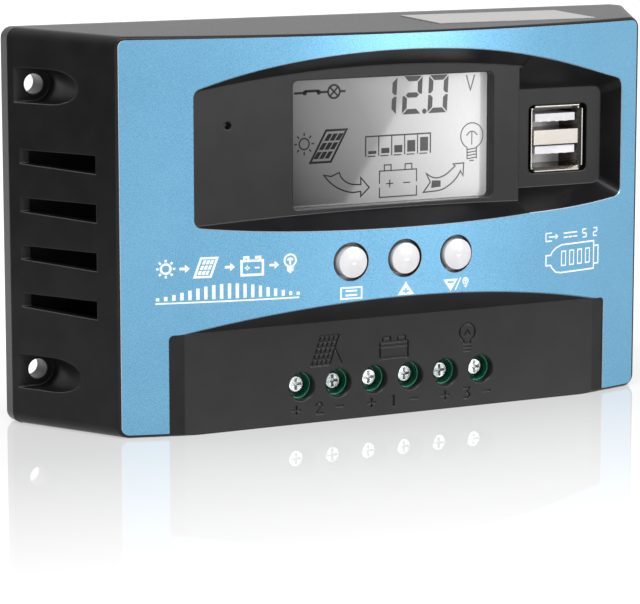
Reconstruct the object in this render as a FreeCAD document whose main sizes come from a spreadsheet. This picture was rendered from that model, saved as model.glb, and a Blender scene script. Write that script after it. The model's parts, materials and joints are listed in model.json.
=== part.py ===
import FreeCAD, Part
import math
import os
import re

import Sketcher
from FreeCAD import Placement, Rotation, Vector

# Solar charge controller in a wall-mount plastic case, millimetres.
# X runs to the right and Z up, seen from the front, and the front faces -Y.
# The origin is under the middle of the case, on the surface that it stands on.

DIMENSIONS = {
    # Case: a flat-backed box with slanted sides and a front bowed about a vertical axis.
    "back_width": 165.9,
    "back_height": 90.7,
    "front_width": 137.4,
    "front_height": 89.9,
    "apex_y": -20.5,
    "edge_y": -9.7,
    "seam_y": 17.2,
    "back_y": 21.6,
    "case_wall": 2.2,
    "corner_round": 2.6,
    "front_round": 0.8,
    "label_thickness": 0.3,
    "label_margin": 0.8,
    "label_corner": 1.6,
    # Display recess: a flat panel sunk in the bowed front, with sloping ledges round it.
    "recess_front_y": -21.7,
    "panel_y": -14.2,
    "panel_left": -51.9,
    "panel_right": 32.7,
    "panel_bottom": 48.6,
    "panel_bottom_radius": 1040.0,
    "panel_crown": 81.55,
    "panel_crown_radius": 312.0,
    "opening_bottom": 44.15,
    "opening_bottom_radius": 600.0,
    "opening_crown": 86.21,
    "opening_crown_radius": 560.0,
    "recess_corner": 1.5,
    "usb_recess_corner": 2.6,
    "recess_overlap": 0.8,
    # Window in the panel, and the hole in front of the status lamp.
    "window_x": -0.6,
    "window_z": 64.15,
    "window_width": 52.6,
    "window_height": 29.3,
    "window_corner": 1.2,
    "lamp_x": -43.25,
    "lamp_z": 69.5,
    "lamp_hole_radius": 0.9,
    "lamp_radius": 1.5,
    "lamp_gap": 0.1,
    "lamp_collar_radius": 1.9,
    "lamp_collar_height": 1.0,
    # Sunk square floor round the USB sockets.
    "usb_floor_y": -6.7,
    "usb_floor_right": 60.05,
    "usb_floor_bottom": 50.0,
    "usb_floor_top": 73.45,
    "usb_flare_right": 69.1,
    "usb_flare_top_left": 85.52,
    "usb_flare_top_middle": 83.45,
    "usb_flare_top_right": 79.5,
    "usb_flare_bottom_left": 44.3,
    "usb_flare_bottom_right": 41.95,
    "usb_x": 48.1,
    "usb_z": 61.35,
    "usb_cutout": 16.3,
    "usb_inner_width": 12.5,
    "usb_inner_height": 13.8,
    "usb_front_y": -6.4,
    "usb_sheet": 0.3,
    "usb_flare": 0.7,
    "usb_flare_depth": 1.0,
    "usb_flare_notch": 1.5,
    "usb_base_y": 2.6,
    "usb_tongue_width": 11.1,
    "usb_tongue_thickness": 1.84,
    "usb_tongue_front_y": -5.4,
    "usb_upper_tongue": 4.95,
    "usb_lower_tongue": -2.8,
    "usb_divider_middle": 0.25,
    "usb_divider_height": 3.5,
    "usb_divider_setback": 0.5,
    "usb_gap": 0.05,
    "usb_contact_pitch": 2.3,
    "usb_contact_width": 1.0,
    "usb_contact_thickness": 0.18,
    "usb_contact_gap": 0.01,
    "usb_contact_setback": 0.8,
    # Flat terminal panel along the bottom of the front.
    "terminal_y": -13.86,
    "ledge_z": 23.15,
    "ledge_slope": 0.86,
    "label_cut_half": 57.65,
    "label_cut_corner": 1.2,
    "pole_pitch": 9.5,
    "pole_row_x": -0.74,
    "screw_z": 8.74,
    "driver_hole_radius": 3.15,
    "driver_hole_chamfer": 0.3,
    "engraving_depth": 0.3,
    "engraving_width": 0.36,
    # Terminal block and its rising clamps.
    "block_width": 58.0,
    "block_bottom": 2.3,
    "block_top": 16.4,
    "block_back_y": 7.6,
    "well_radius": 2.9,
    "well_front_y": -11.8,
    "web_front_y": -8.3,
    "web_back_y": -6.2,
    "clamp_width": 7.6,
    "clamp_length": 6.8,
    "clamp_front_y": -2.4,
    "clamp_back_y": 5.9,
    "clamp_side": 0.7,
    "clamp_nut": 1.4,
    "clamp_sole": 0.9,
    "clamp_gap": 0.15,
    "entry_width": 7.2,
    "entry_front_y": -1.0,
    "entry_back_y": 5.6,
    "screw_radius": 1.5,
    "screw_running_gap": 0.06,
    "screw_head_radius": 2.1,
    "screw_head_height": 2.4,
    "screw_tip_y": -1.05,
    "contact_width": 4.4,
    "contact_thickness": 0.8,
    "contact_bottom": 4.3,
    "contact_top": 14.2,
    "contact_leg_width": 1.2,
    "clearance": 0.05,
    # Push buttons over tactile switches.
    "button_pitch": 13.7,
    "button_row_x": -1.45,
    "button_z": 37.75,
    "button_radius": 3.55,
    "button_tip_y": -21.6,
    "button_back_y": -10.6,
    "button_dome_radius": 14.0,
    "button_flange_radius": 4.9,
    "button_flange_front_y": -17.1,
    "button_flange_thickness": 1.0,
    "button_hole_radius": 4.45,
    "switch_size": 6.0,
    "switch_height": 3.5,
    "plunger_radius": 1.7,
    "plunger_tip_y": -12.2,
    "plunger_back_y": -6.2,
    "plunger_travel": 0.9,
    "plunger_running_gap": 0.08,
    "plunger_socket_gap": 0.05,
    # Display module behind the window.
    "frame_half_width": 29.3,
    "frame_half_height": 17.7,
    "frame_wall": 1.4,
    "glass_half_width": 27.7,
    "glass_half_height": 15.7,
    "glass_front_y": -11.1,
    "glass_thickness": 2.8,
    "glass_pin_pitch": 2.0,
    "glass_pin_half_width": 0.25,
    "glass_pin_half_thickness": 0.15,
    "glass_pin_gap": 0.35,
    "glass_pin_setback": 0.6,
    "backlight_gap": 0.6,
    # Boards.
    "board_thickness": 1.6,
    "main_board_front_y": 7.7,
    "main_board_half_width": 57.0,
    "main_board_bottom": 3.0,
    "main_board_top": 87.0,
    "display_board_front_y": -3.9,
    "display_board_left": -50.0,
    "display_board_right": 30.0,
    "display_board_bottom": 32.0,
    "display_board_top": 87.3,
    # Posts inside the case and the screws in them.
    "case_post_x": 62.0,
    "case_post_low_z": 8.5,
    "case_post_high_z": 82.0,
    "case_post_radius": 3.6,
    "main_post_x": 53.3,
    "main_post_low_z": 26.0,
    "main_post_high_z": 83.6,
    "main_post_radius": 3.0,
    "display_post_left": -46.0,
    "display_post_right": 26.6,
    "display_post_low_z": 35.5,
    "display_post_high_z": 84.6,
    "display_post_radius": 2.4,
    "pilot_gap": 0.05,
    "board_hole_gap": 0.2,
    "screw_edge": 0.35,
    "case_screw_radius": 1.4,
    "case_screw_head_radius": 2.9,
    "case_screw_head_height": 2.0,
    "case_screw_grip": 8.0,
    "main_screw_radius": 1.1,
    "main_screw_head_radius": 2.3,
    "main_screw_head_height": 1.5,
    "main_screw_grip": 4.5,
    "display_screw_radius": 0.8,
    "display_screw_head_radius": 1.8,
    "display_screw_head_height": 1.2,
    "display_screw_grip": 4.0,
    # Air slots in the slanted sides.
    "slot_front_y": -4.85,
    "slot_back_y": 14.4,
    "slot_height": 4.1,
    "slot_back_height": 3.1,
    "slot_pitch": 10.9,
    "slot_middle_z": 44.95,
    # Wall-mounting holes and the pockets that lead to them.
    "mount_x": 77.3,
    "mount_low_z": 12.65,
    "mount_high_z": 77.95,
    "mount_pocket_radius": 3.9,
    "mount_pocket_wall": 1.7,
    "mount_floor_y": 15.7,
    "mount_hole_radius": 2.3,
    # Rear cover.
    "cover_plate": 2.4,
    "cover_rim": 2.0,
    "cover_edge_round": 0.8,
    "head_recess_radius": 3.1,
    "head_recess_depth": 2.2,
    "cover_screw_hole_radius": 1.5,
    "cover_boss_radius": 4.6,
    "back_slot_width": 3.0,
    "back_slot_height": 44.0,
    "back_slot_pitch": 9.0,
    # Heat spreader and the power transistors clamped to it.
    "spreader_half_width": 50.0,
    "spreader_bottom": 17.0,
    "spreader_top": 73.0,
    "spreader_thickness": 3.0,
    "pad_thickness": 0.3,
    "pad_half_width": 40.0,
    "pad_bottom": 31.0,
    "pad_top": 49.0,
    "transistor_pitch": 22.0,
    "transistor_z": 38.0,
    "transistor_width": 10.0,
    "transistor_height": 9.2,
    "transistor_depth": 4.4,
    "case_down": 1.5,
    "tab_up": 3.0,
    "tab_height": 13.0,
    "tab_thickness": 1.3,
    "tab_hole_up": 6.3,
    "tab_hole_radius": 1.9,
    "tab_screw_radius": 1.4,
    "tab_screw_head_radius": 2.6,
    "tab_screw_head_height": 2.0,
    "tab_screw_grip": 2.6,
    "lead_pitch": 2.54,
    "lead_width": 0.8,
    "lead_thickness": 0.5,
    "lead_depth": 2.2,
    "lead_bend": 9.4,
    # Larger parts on the two boards.
    "link_x": -40.0,
    "link_z": 57.0,
    "link_pitch": 2.54,
    "link_plug_height": 1.5,
    "link_pin_radius": 0.35,
    "link_pin_gap": 0.05,
    "link_pin_length": 7.0,
    "capacitor_z": 12.5,
    "capacitor_radius": 5.0,
    "capacitor_height": 16.0,
    "capacitor_groove": 0.4,
    "capacitor_groove_up": 2.6,
    "fuse_x": 49.5,
    "fuse_z": 12.5,
    "fuse_width": 9.6,
    "fuse_depth": 3.8,
    "fuse_height": 9.0,
    "fuse_standoff": 6.0,
    "fuse_blade_x": 3.4,
    "fuse_blade_width": 2.8,
    "fuse_blade_thickness": 0.7,
    "inductor_x": 42.0,
    "inductor_z": 36.0,
    "inductor_radius": 8.0,
    "inductor_waist": 4.0,
    "inductor_flange": 2.0,
    "inductor_height": 12.0,
    "winding_radius": 7.4,
    "winding_gap": 0.05,
    "controller_chip_x": -6.0,
    "charger_chip_x": 0.0,
    "chip_z": 62.0,
    "chip_size": 10.0,
    "chip_height": 1.4,
    # Blank seal on the top face.
    "seal_x": 35.6,
    "seal_y": 0.6,
    "seal_width": 42.4,
    "seal_depth": 19.2,
    "seal_thickness": 0.15,
    "seal_glue": 0.02,
    "seal_turn": -1.5,
}

POLES = 6
BUTTONS = ("menu", "plus", "minus")

SIDE_SLOPE = "((back_width - front_width)/2/(seam_y - edge_y))"
TOP_SLOPE = "((back_height - front_height)/(seam_y - edge_y))"
BOW_RADIUS = "(((front_width/2)^2 + (edge_y - apex_y)^2)/(2*(edge_y - apex_y)))"

TO_BACK = Rotation(Vector(1, 0, 0), -90)
TO_FRONT = Rotation(Vector(1, 0, 0), 90)

doc = FreeCAD.newDocument("charge_controller")
sheet = doc.addObject("Spreadsheet::Sheet", "dims")
for row, (alias, number) in enumerate(DIMENSIONS.items(), start=1):
    sheet.set("A%d" % row, alias)
    sheet.set("B%d" % row, str(number))
    sheet.setAlias("B%d" % row, alias)
doc.recompute()

nodes = {}


# Helpers -----------------------------------------------------------------------------

def size(alias):
    """The number that the sheet holds under this alias."""
    return float(sheet.get(alias))


def bound(formula):
    """A formula with each alias turned into a reference to the sheet."""
    def reference(word):
        return "dims." + word.group() if word.group() in DIMENSIONS else word.group()
    return re.sub(r"[A-Za-z_]\w*", reference, str(formula))


def place(part, at, turn=None):
    """Bind the place of a part to the sheet, after turning it."""
    if turn:
        part.Placement = Placement(Vector(), turn)
    for axis, formula in zip("xyz", at):
        part.setExpression("Placement.Base." + axis, bound(formula))
    return part


def bind(part, **formulas):
    for name, formula in formulas.items():
        part.setExpression(name, bound(formula))
    return part


def block(name, low, high):
    """A box between two corners."""
    part = doc.addObject("Part::Box", name)
    spans = ["(%s) - (%s)" % (top, bottom) for bottom, top in zip(low, high)]
    bind(part, Length=spans[0], Width=spans[1], Height=spans[2])
    return place(part, low)


def rod(name, at, radius, length, turn=TO_BACK):
    """A cylinder from a point towards +Y, or along another axis with its own turn."""
    part = doc.addObject("Part::Cylinder", name)
    bind(part, Radius=radius, Height=length)
    return place(part, at, turn)


def bore(name, across, up, radius, front, back):
    """A round hole or post along Y between two depths."""
    return rod(name, (across, front, up), radius, "%s - (%s)" % (back, front))


def bore_set(prefix, places, radius, front, back):
    """The same hole or post at several places (x, z)."""
    return [
        bore("%s_%d" % (prefix, number), across, up, radius, front, back)
        for number, (across, up) in enumerate(places, start=1)
    ]


def taper(name, front, back):
    """A block between a rectangle on a front plane and one on a back plane.

    Each rectangle is (y, low x, high x, low z, high z).
    """
    part = doc.addObject("Part::Wedge", name)
    bind(part, Ymin=front[0], Xmin=front[1], Xmax=front[2], Zmin=front[3], Zmax=front[4])
    return bind(part, Ymax=back[0], X2min=back[1], X2max=back[2], Z2min=back[3], Z2max=back[4])


def fuse(name, *parts):
    result = doc.addObject("Part::MultiFuse", name)
    result.Shapes = list(parts)
    result.Refine = True
    return result


def common(name, *parts):
    result = doc.addObject("Part::MultiCommon", name)
    result.Shapes = list(parts)
    return result


def cut(name, base, *tools):
    result = doc.addObject("Part::Cut", name)
    result.Base = base
    result.Tool = tools[0] if len(tools) == 1 else fuse(name + "_tools", *tools)
    result.Refine = True
    return result


def group(name, parts):
    """Separate solids that share one node."""
    result = doc.addObject("Part::Compound", name)
    result.Links = list(parts)
    return result


def rounded(name, base, radius_of):
    """Round each edge for which radius_of(edge) gives a radius."""
    doc.recompute()
    picks = []
    for number, edge in enumerate(base.Shape.Edges, start=1):
        radius = radius_of(edge)
        if radius:
            picks.append((number, radius, radius))
    result = doc.addObject("Part::Fillet", name)
    result.Base = base
    result.Edges = picks
    return result


def feature(name, shape):
    """A shape made with Part's own functions."""
    result = doc.addObject("Part::Feature", name)
    result.Shape = shape
    return result


def node(label, part):
    """Keep a finished sub-part under the name of its file."""
    part.Label = label
    nodes[label] = part
    return part


def runs_along(edge, axis):
    """Whether a straight edge lies along the axis."""
    if edge.Curve.TypeId != "Part::GeomLine":
        return False
    return edge.Curve.Direction.cross(axis).Length < 1e-6


def add_polygon(sketch, corners):
    """A closed outline whose corners are bound to the sheet."""
    first = sketch.GeometryCount
    count = len(corners)
    turns = [2*math.pi*number/count for number in range(count)]
    guess = [Vector(math.cos(angle), math.sin(angle), 0) for angle in turns]
    for number in range(count):
        sketch.addGeometry(Part.LineSegment(guess[number], guess[(number + 1) % count]))
    for number in range(count):
        following = first + (number + 1) % count
        sketch.addConstraint(Sketcher.Constraint("Coincident", first + number, 2, following, 1))
    for number, (across, up) in enumerate(corners):
        bind_point(sketch, first + number, 1, guess[number], across, up)


def add_circle(sketch, across, up, radius):
    number = sketch.addGeometry(Part.Circle(Vector(1, 1, 0), Vector(0, 0, 1), 1))
    bind_point(sketch, number, 3, Vector(1, 1, 0), across, up)
    index = sketch.addConstraint(Sketcher.Constraint("Radius", number, 1.0))
    sketch.setExpression("Constraints[%d]" % index, bound(radius))


def bind_point(sketch, number, position, guess, across, up):
    for kind, formula, start in (("DistanceX", across, guess.x), ("DistanceY", up, guess.y)):
        index = sketch.addConstraint(Sketcher.Constraint(kind, number, position, start))
        sketch.setExpression("Constraints[%d]" % index, bound(formula))


def new_sketch(body, name, role, lift=None):
    """A sketch on one of the body's own origin planes."""
    sketch = body.newObject("Sketcher::SketchObject", name)
    plane = [item for item in body.Origin.OriginFeatures if item.Role == role][0]
    sketch.AttachmentSupport = [(plane, "")]
    sketch.MapMode = "FlatFace"
    if lift:
        sketch.setExpression("AttachmentOffset.Base.z", bound(lift))
    return sketch


def new_body(name):
    return doc.addObject("PartDesign::Body", name)


def lathe(name, profile):
    """A body turned about its own Z axis, from (radius, height) corners."""
    body = new_body(name)
    sketch = new_sketch(body, name + "_profile", "XZ_Plane")
    add_polygon(sketch, profile)
    turned = body.newObject("PartDesign::Revolution", name + "_turned")
    turned.Profile = sketch
    turned.ReferenceAxis = (sketch, ["V_Axis"])
    turned.Angle = 360
    sketch.Visibility = False
    return body


def plate(name, corners, thickness, holes=(), windows=()):
    """A plate padded from an outline in X and Z, with its back face on the body's Y = 0."""
    body = new_body(name)
    outline = new_sketch(body, name + "_outline", "XZ_Plane")
    add_polygon(outline, corners)
    pad = body.newObject("PartDesign::Pad", name + "_pad")
    pad.Profile = outline
    bind(pad, Length=thickness)
    if holes or windows:
        drilling = new_sketch(body, name + "_holes", "XZ_Plane")
        for across, up, radius in holes:
            add_circle(drilling, across, up, radius)
        for window in windows:
            add_polygon(drilling, window)
        pocket = body.newObject("PartDesign::Pocket", name + "_drilled")
        pocket.Profile = drilling
        pocket.Type = "ThroughAll"
        pocket.Midplane = True
    return body


def rectangle(left, right, bottom, top):
    return [(left, bottom), (right, bottom), (right, top), (left, top)]


# Case form and the recesses in it ----------------------------------------------------

def case_form(name, inset, back):
    """The case's outer form from the bowed front to a back plane, shrunk by an inset."""
    front = "apex_y - 1"
    lean = "sqrt(1 + %s^2)" % SIDE_SLOPE
    ends = []
    for depth in (front, back):
        half = "(front_width/2 + %s*(%s - edge_y) - %s*%s)" % (SIDE_SLOPE, depth, inset, lean)
        top = "(front_height + %s*(%s - edge_y) - %s)" % (TOP_SLOPE, depth, inset)
        ends.append((depth, "-" + half, half, inset, top))
    box = taper(name + "_box", *ends)
    centre = ("0", "apex_y + %s" % BOW_RADIUS, "-1")
    drum = doc.addObject("Part::Cylinder", name + "_drum")
    bind(drum, Radius="%s - (%s)" % (BOW_RADIUS, inset), Height="back_height + 2")
    place(drum, centre)
    return common(name, box, drum)


def crown(peak, radius, across):
    """Height of a crowned edge, an arc whose highest point is over X = 0."""
    return peak - radius + math.sqrt(radius**2 - across**2)


def outline_wire(depth, bottom, right_top, top_middle, left_top):
    """A wire in the plane Y = depth: bottom edge, right side, crowned top, left side."""
    points = [Vector(across, depth, up) for across, up in bottom]
    corner, middle, end = (Vector(point[0], depth, point[1]) for point in (right_top, top_middle, left_top))
    if len(points) == 3:
        bottom_edge = Part.Arc(*points).toShape()
    else:
        bottom_edge = Part.LineSegment(*points).toShape()
    edges = [
        bottom_edge,
        Part.LineSegment(points[-1], corner).toShape(),
        Part.Arc(corner, middle, end).toShape(),
        Part.LineSegment(end, points[0]).toShape(),
    ]
    return Part.Wire(edges)


def display_recess(name, grow):
    """Space in front of the display panel: a ruled loft from the panel to the bowed face."""
    left = size("panel_left") - grow
    right = size("panel_right") + size("recess_overlap")
    panel_top = [
        (across, crown(size("panel_crown"), size("panel_crown_radius"), across) + grow)
        for across in (right, 0.0, left)
    ]
    panel_bottom = [
        (across, crown(size("panel_bottom"), size("panel_bottom_radius"), across) - grow)
        for across in (left, 0.0, right)
    ]
    mouth_top = [
        (across, crown(size("opening_crown"), size("opening_crown_radius"), across) + grow)
        for across in (right, 0.0, left)
    ]
    mouth_bottom = [
        (across, crown(size("opening_bottom"), size("opening_bottom_radius"), across) - grow)
        for across in (left, 0.0, right)
    ]
    solid = Part.makeLoft(
        [
            outline_wire(size("panel_y") + grow, panel_bottom, *panel_top),
            outline_wire(size("recess_front_y"), mouth_bottom, *mouth_top),
        ],
        True,
        True,
    )
    corners = [
        edge
        for edge in solid.Edges
        if all(abs(vertex.X - left) < 1e-6 for vertex in edge.Vertexes)
        and abs(edge.Vertexes[0].Y - edge.Vertexes[1].Y) > 1
    ]
    return feature(name, solid.makeFillet(size("recess_corner"), corners))


def usb_recess(name, grow):
    """Funnel round the USB sockets: a ruled loft from the square floor to the bowed face."""
    left = size("panel_right") - grow
    floor_right = size("usb_floor_right") + grow
    floor_bottom = size("usb_floor_bottom") - grow
    floor_top = size("usb_floor_top") + grow
    floor_middle = (left + floor_right)/2
    floor_depth = size("usb_floor_y") + grow
    barely = 0.01
    floor = outline_wire(
        floor_depth,
        [(left, floor_bottom), (floor_right, floor_bottom)],
        (floor_right, floor_top),
        (floor_middle, floor_top + barely),
        (left, floor_top),
    )
    flare_right = size("usb_flare_right") + grow
    mouth = outline_wire(
        size("recess_front_y"),
        [
            (left, size("usb_flare_bottom_left") - grow),
            (flare_right, size("usb_flare_bottom_right") - grow),
        ],
        (flare_right, size("usb_flare_top_right") + grow),
        ((left + flare_right)/2, size("usb_flare_top_middle") + grow),
        (left, size("usb_flare_top_left") + grow),
    )
    solid = Part.makeLoft([mouth, floor], True, True)
    for sign in (1, -1):
        corner = [
            edge
            for edge in solid.Edges
            if edge.BoundBox.XLength > 5 and edge.BoundBox.YLength > 10
            and sign*(edge.BoundBox.Center.z - size("usb_z")) > 0
        ]
        solid = solid.makeFillet(size("usb_recess_corner"), corner)
    return feature(name, solid)


def terminal_recess(name, grow):
    """Space in front of the flat terminal panel, under its sloping ledge."""
    reach = "(terminal_y - recess_front_y + 8)"
    span = "(back_width/2 + 5)"
    ledge = "ledge_z + sqrt(1 + ledge_slope^2)*%s" % grow
    return taper(
        name,
        ("terminal_y - %s" % reach, "-" + span, span, "-5", "%s + ledge_slope*%s" % (ledge, reach)),
        ("terminal_y + %s" % grow, "-" + span, span, "-5", ledge),
    )


outer_sharp = case_form("outer_sharp", "0", "seam_y")


def case_edge_radius(edge):
    ends = [vertex.Y for vertex in edge.Vertexes]
    if max(ends) > size("seam_y") - 0.01:
        on_seam = min(ends) > size("seam_y") - 0.01
        return None if on_seam else size("corner_round")
    return size("front_round")


outer_form = rounded("outer_form", outer_sharp, case_edge_radius)

cavity = cut(
    "cavity",
    case_form("cavity_form", "case_wall", "seam_y + 1"),
    display_recess("display_core", size("case_wall")),
    usb_recess("usb_core", size("case_wall")),
    terminal_recess("terminal_core", "case_wall"),
)
display_space = display_recess("display_space", 0)
usb_space = usb_recess("usb_space", 0)
terminal_space = terminal_recess("terminal_space", "0")
recesses = fuse("recesses", display_space, usb_space, terminal_space)


# Front housing -----------------------------------------------------------------------

def side_block(name, sign, near, far, low, high):
    """A box on one side of the case, from |X| = near to |X| = far."""
    if sign == "1":
        return block(name, (near, low[0], low[1]), (far, high[0], high[1]))
    return block(name, ("-(%s)" % far, low[0], low[1]), ("-(%s)" % near, high[0], high[1]))


def air_slot(name, sign, number):
    """Slot through one side, whose floor rises towards the back."""
    top = "slot_middle_z + %s*slot_pitch + slot_height/2" % (number - 1.5)
    near, far = "front_width/2 - 4", "back_width/2 + 2"
    low, high = (near, far) if sign == "1" else ("-(%s)" % far, "-(%s)" % near)
    return taper(
        name,
        ("slot_front_y", low, high, top + " - slot_height", top),
        ("slot_back_y", low, high, top + " - slot_back_height", top),
    )


def mount_channel(name, sign, height, radius, front, back):
    """Round-nosed channel over a wall-mounting hole, out through the slanted side."""
    nose = bore(name + "_nose", "%s*mount_x" % sign, height, radius, front, back)
    trough = side_block(
        name + "_trough",
        sign,
        "mount_x",
        "back_width/2 + 3",
        (front, "%s - (%s)" % (height, radius)),
        (back, "%s + %s" % (height, radius)),
    )
    return fuse(name, nose, trough)


def four_places(left, right, low, high):
    return [(across, up) for across in (left, right) for up in (low, high)]


CASE_POSTS = four_places("-case_post_x", "case_post_x", "case_post_low_z", "case_post_high_z")
MAIN_POSTS = four_places("-main_post_x", "main_post_x", "main_post_low_z", "main_post_high_z")
DISPLAY_POSTS = four_places(
    "display_post_left", "display_post_right", "display_post_low_z", "display_post_high_z",
)


def pole_x(number):
    return "pole_row_x + %s*pole_pitch" % (number - (POLES - 1)/2)


def button_x(number):
    return "button_row_x + %s*button_pitch" % (number - 1)


def rounded_window(name, across, up, width, height, corner, front, back):
    """A straight opening along Y with rounded corners."""
    opening = block(
        name + "_box",
        ("%s - %s/2" % (across, width), front, "%s - %s/2" % (up, height)),
        ("%s + %s/2" % (across, width), back, "%s + %s/2" % (up, height)),
    )
    return rounded(name, opening, lambda edge: size(corner) if runs_along(edge, Vector(0, 1, 0)) else None)


def stroke(start, end):
    """An engraved line between two points (x, z) of the terminal panel, with round ends."""
    width = size("engraving_width")
    depth = size("engraving_depth")
    face_y = size("terminal_y")
    low = Vector(start[0], face_y - 1, start[1])
    run = Vector(end[0] - start[0], 0, end[1] - start[1])
    tip = Part.makeCylinder(width/2, depth + 1, low, Vector(0, 1, 0))
    if run.Length < 1e-6:
        return [tip]
    side = run.cross(Vector(0, 1, 0)).normalize()*(width/2)
    corners = [low + side, low + side + run, low - side + run, low - side, low + side]
    bar = Part.Face(Part.makePolygon(corners)).extrude(Vector(0, depth + 1, 0))
    return [bar, tip]


def polyline(points, closed=False):
    """Engraved lines through points, with a round end on each."""
    path = list(points) + [points[0]] if closed else list(points)
    lines = []
    for start, end in zip(path, path[1:]):
        lines += stroke(start, end)
    return lines + stroke(path[-1], path[-1])


def ring_points(across, up, radius, start, end, count):
    """Points round an arc, angles in degrees."""
    angles = [math.radians(start + (end - start)*number/count) for number in range(count + 1)]
    return [(across + radius*math.cos(angle), up + radius*math.sin(angle)) for angle in angles]


def panel_mark(across, base):
    """A tilted solar panel on a stand."""
    lean, width, height = 2.4, 4.7, 6.7
    left = across - 2.0

    def spot(along, up):
        return (left + along*width + up*lean, base + up*height)

    lines = []
    for column in range(5):
        lines += polyline([spot(column/4, 0), spot(column/4, 1)])
    for row in range(6):
        lines += polyline([spot(0, row/5), spot(1, row/5)])
    return lines + polyline([spot(1.02, 0.55), (left + width + 3.2, base)])


def battery_mark(across, base):
    """A battery with two posts."""
    left, right, top = across - 3.7, across + 3.7, base + 3.9
    lines = polyline([(left, base), (left, top), (right, top), (right, base)])
    for up in (base + 0.2, top - 1.0):
        lines += polyline([(left, up), (right, up)])
    for post in (across - 2.0, across + 2.0):
        near, far, tip = post - 1.0, post + 1.0, top + 1.2
        lines += polyline([(near, top), (near, tip), (far, tip), (far, top)])
    return lines


def lamp_mark(across, base):
    """A light bulb over its screw cap."""
    bulb = ring_points(across, base + 4.5, 2.1, -62, 242, 14)
    lines = polyline([(across + 0.8, base + 1.9)] + bulb + [(across - 0.8, base + 1.9)])
    for up in (0.2, 1.0, 1.9):
        lines += polyline([(across - 0.8, base + up), (across + 0.8, base + up)])
    return lines + polyline([(across - 0.7, base + 3.9), (across, base + 5.1), (across + 0.7, base + 3.9)])


def digit_mark(digit, across, base):
    """A numeral of straight strokes, 2.4 mm tall."""
    shapes = {
        1: [(0.0, 0.0), (0.0, 2.4), (-0.4, 2.0)],
        2: [(-0.8, 1.8), (-0.4, 2.4), (0.4, 2.4), (0.8, 1.8), (-0.8, 0.0), (0.8, 0.0)],
        3: [(-0.8, 2.4), (0.8, 2.4), (0.0, 1.4), (0.7, 1.0), (0.7, 0.4), (0.2, 0.0), (-0.8, 0.1)],
    }
    return polyline([(across + step, base + up) for step, up in shapes[digit]])


def engraving():
    """Marks over and under each pair of terminals: what it feeds, its number and its signs."""
    lines = []
    mark_base = size("screw_z") + 4.5
    sign_z = size("screw_z") - 5.5
    marks = ((panel_mark, 2, -0.3), (battery_mark, 1, 0.3), (lamp_mark, 3, 1.0))
    for pair, (mark, digit, shift) in enumerate(marks):
        middle = size("pole_row_x") + (2*pair - 2)*size("pole_pitch") + shift
        lines += mark(middle, mark_base)
        lines += digit_mark(digit, middle, sign_z - 1.2)
        plus, minus = middle - 5.9, middle + 5.4
        lines += polyline([(plus - 1.0, sign_z), (plus + 1.0, sign_z)])
        lines += polyline([(plus, sign_z - 1.0), (plus, sign_z + 1.0)])
        lines += polyline([(minus - 0.9, sign_z), (minus + 0.9, sign_z)])
    return feature("engraving", lines[0].multiFuse(lines[1:]))


POCKET_WALL_RADIUS = "mount_pocket_radius + mount_pocket_wall"
MOUNT_CORNERS = [
    ("%s_%s" % (level, side), sign, height)
    for level, height in (("low", "mount_low_z"), ("high", "mount_high_z"))
    for side, sign in (("left", "-1"), ("right", "1"))
]
pocket_walls = [
    mount_channel("pocket_wall_" + corner, sign, height, POCKET_WALL_RADIUS, "edge_y", "seam_y")
    for corner, sign, height in MOUNT_CORNERS
]
pocket_channels = [
    mount_channel("pocket_" + corner, sign, height, "mount_pocket_radius", "apex_y", "mount_floor_y")
    for corner, sign, height in MOUNT_CORNERS
]
mount_holes = [
    bore("mount_hole_" + corner, "%s*mount_x" % sign, height, "mount_hole_radius",
         "mount_floor_y - 1", "back_y + 1")
    for corner, sign, height in MOUNT_CORNERS
]

inner_features = common(
    "inner_features",
    outer_form,
    fuse(
        "inner_features_raw",
        *pocket_walls,
        *bore_set("case_post", CASE_POSTS, "case_post_radius", "apex_y", "seam_y"),
        *bore_set("main_post", MAIN_POSTS, "main_post_radius", "apex_y", "main_board_front_y"),
        *bore_set("display_post", DISPLAY_POSTS, "display_post_radius", "apex_y", "display_board_front_y"),
    ),
)
walls = cut("walls", outer_form, cavity)

window = rounded_window(
    "window", "window_x", "window_z", "window_width", "window_height", "window_corner",
    "panel_y - 1", "panel_y + case_wall + 1",
)
usb_window = rounded_window(
    "usb_window", "usb_x", "usb_z", "usb_cutout", "usb_cutout", "window_corner",
    "usb_floor_y - 1", "usb_floor_y + case_wall + 1",
)
lamp_hole = bore(
    "lamp_hole", "lamp_x", "lamp_z", "lamp_hole_radius", "panel_y - 1", "panel_y + case_wall + 1",
)
button_holes = [
    bore("button_hole_%d" % number, button_x(number), "button_z", "button_hole_radius",
         "apex_y - 1", "apex_y + case_wall + 2")
    for number in range(len(BUTTONS))
]


def driver_hole(number):
    """Screwdriver hole through the terminal panel, with a chamfered mouth."""
    across = pole_x(number)
    hole = bore("driver_hole_%d" % number, across, "screw_z", "driver_hole_radius",
                "terminal_y - 1", "terminal_y + case_wall + 1")
    mouth = doc.addObject("Part::Cone", "driver_mouth_%d" % number)
    bind(mouth, Radius1="driver_hole_radius + 2*driver_hole_chamfer", Radius2="driver_hole_radius",
         Height="2*driver_hole_chamfer")
    return [hole, place(mouth, (across, "terminal_y - driver_hole_chamfer", "screw_z"), TO_BACK)]


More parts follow.
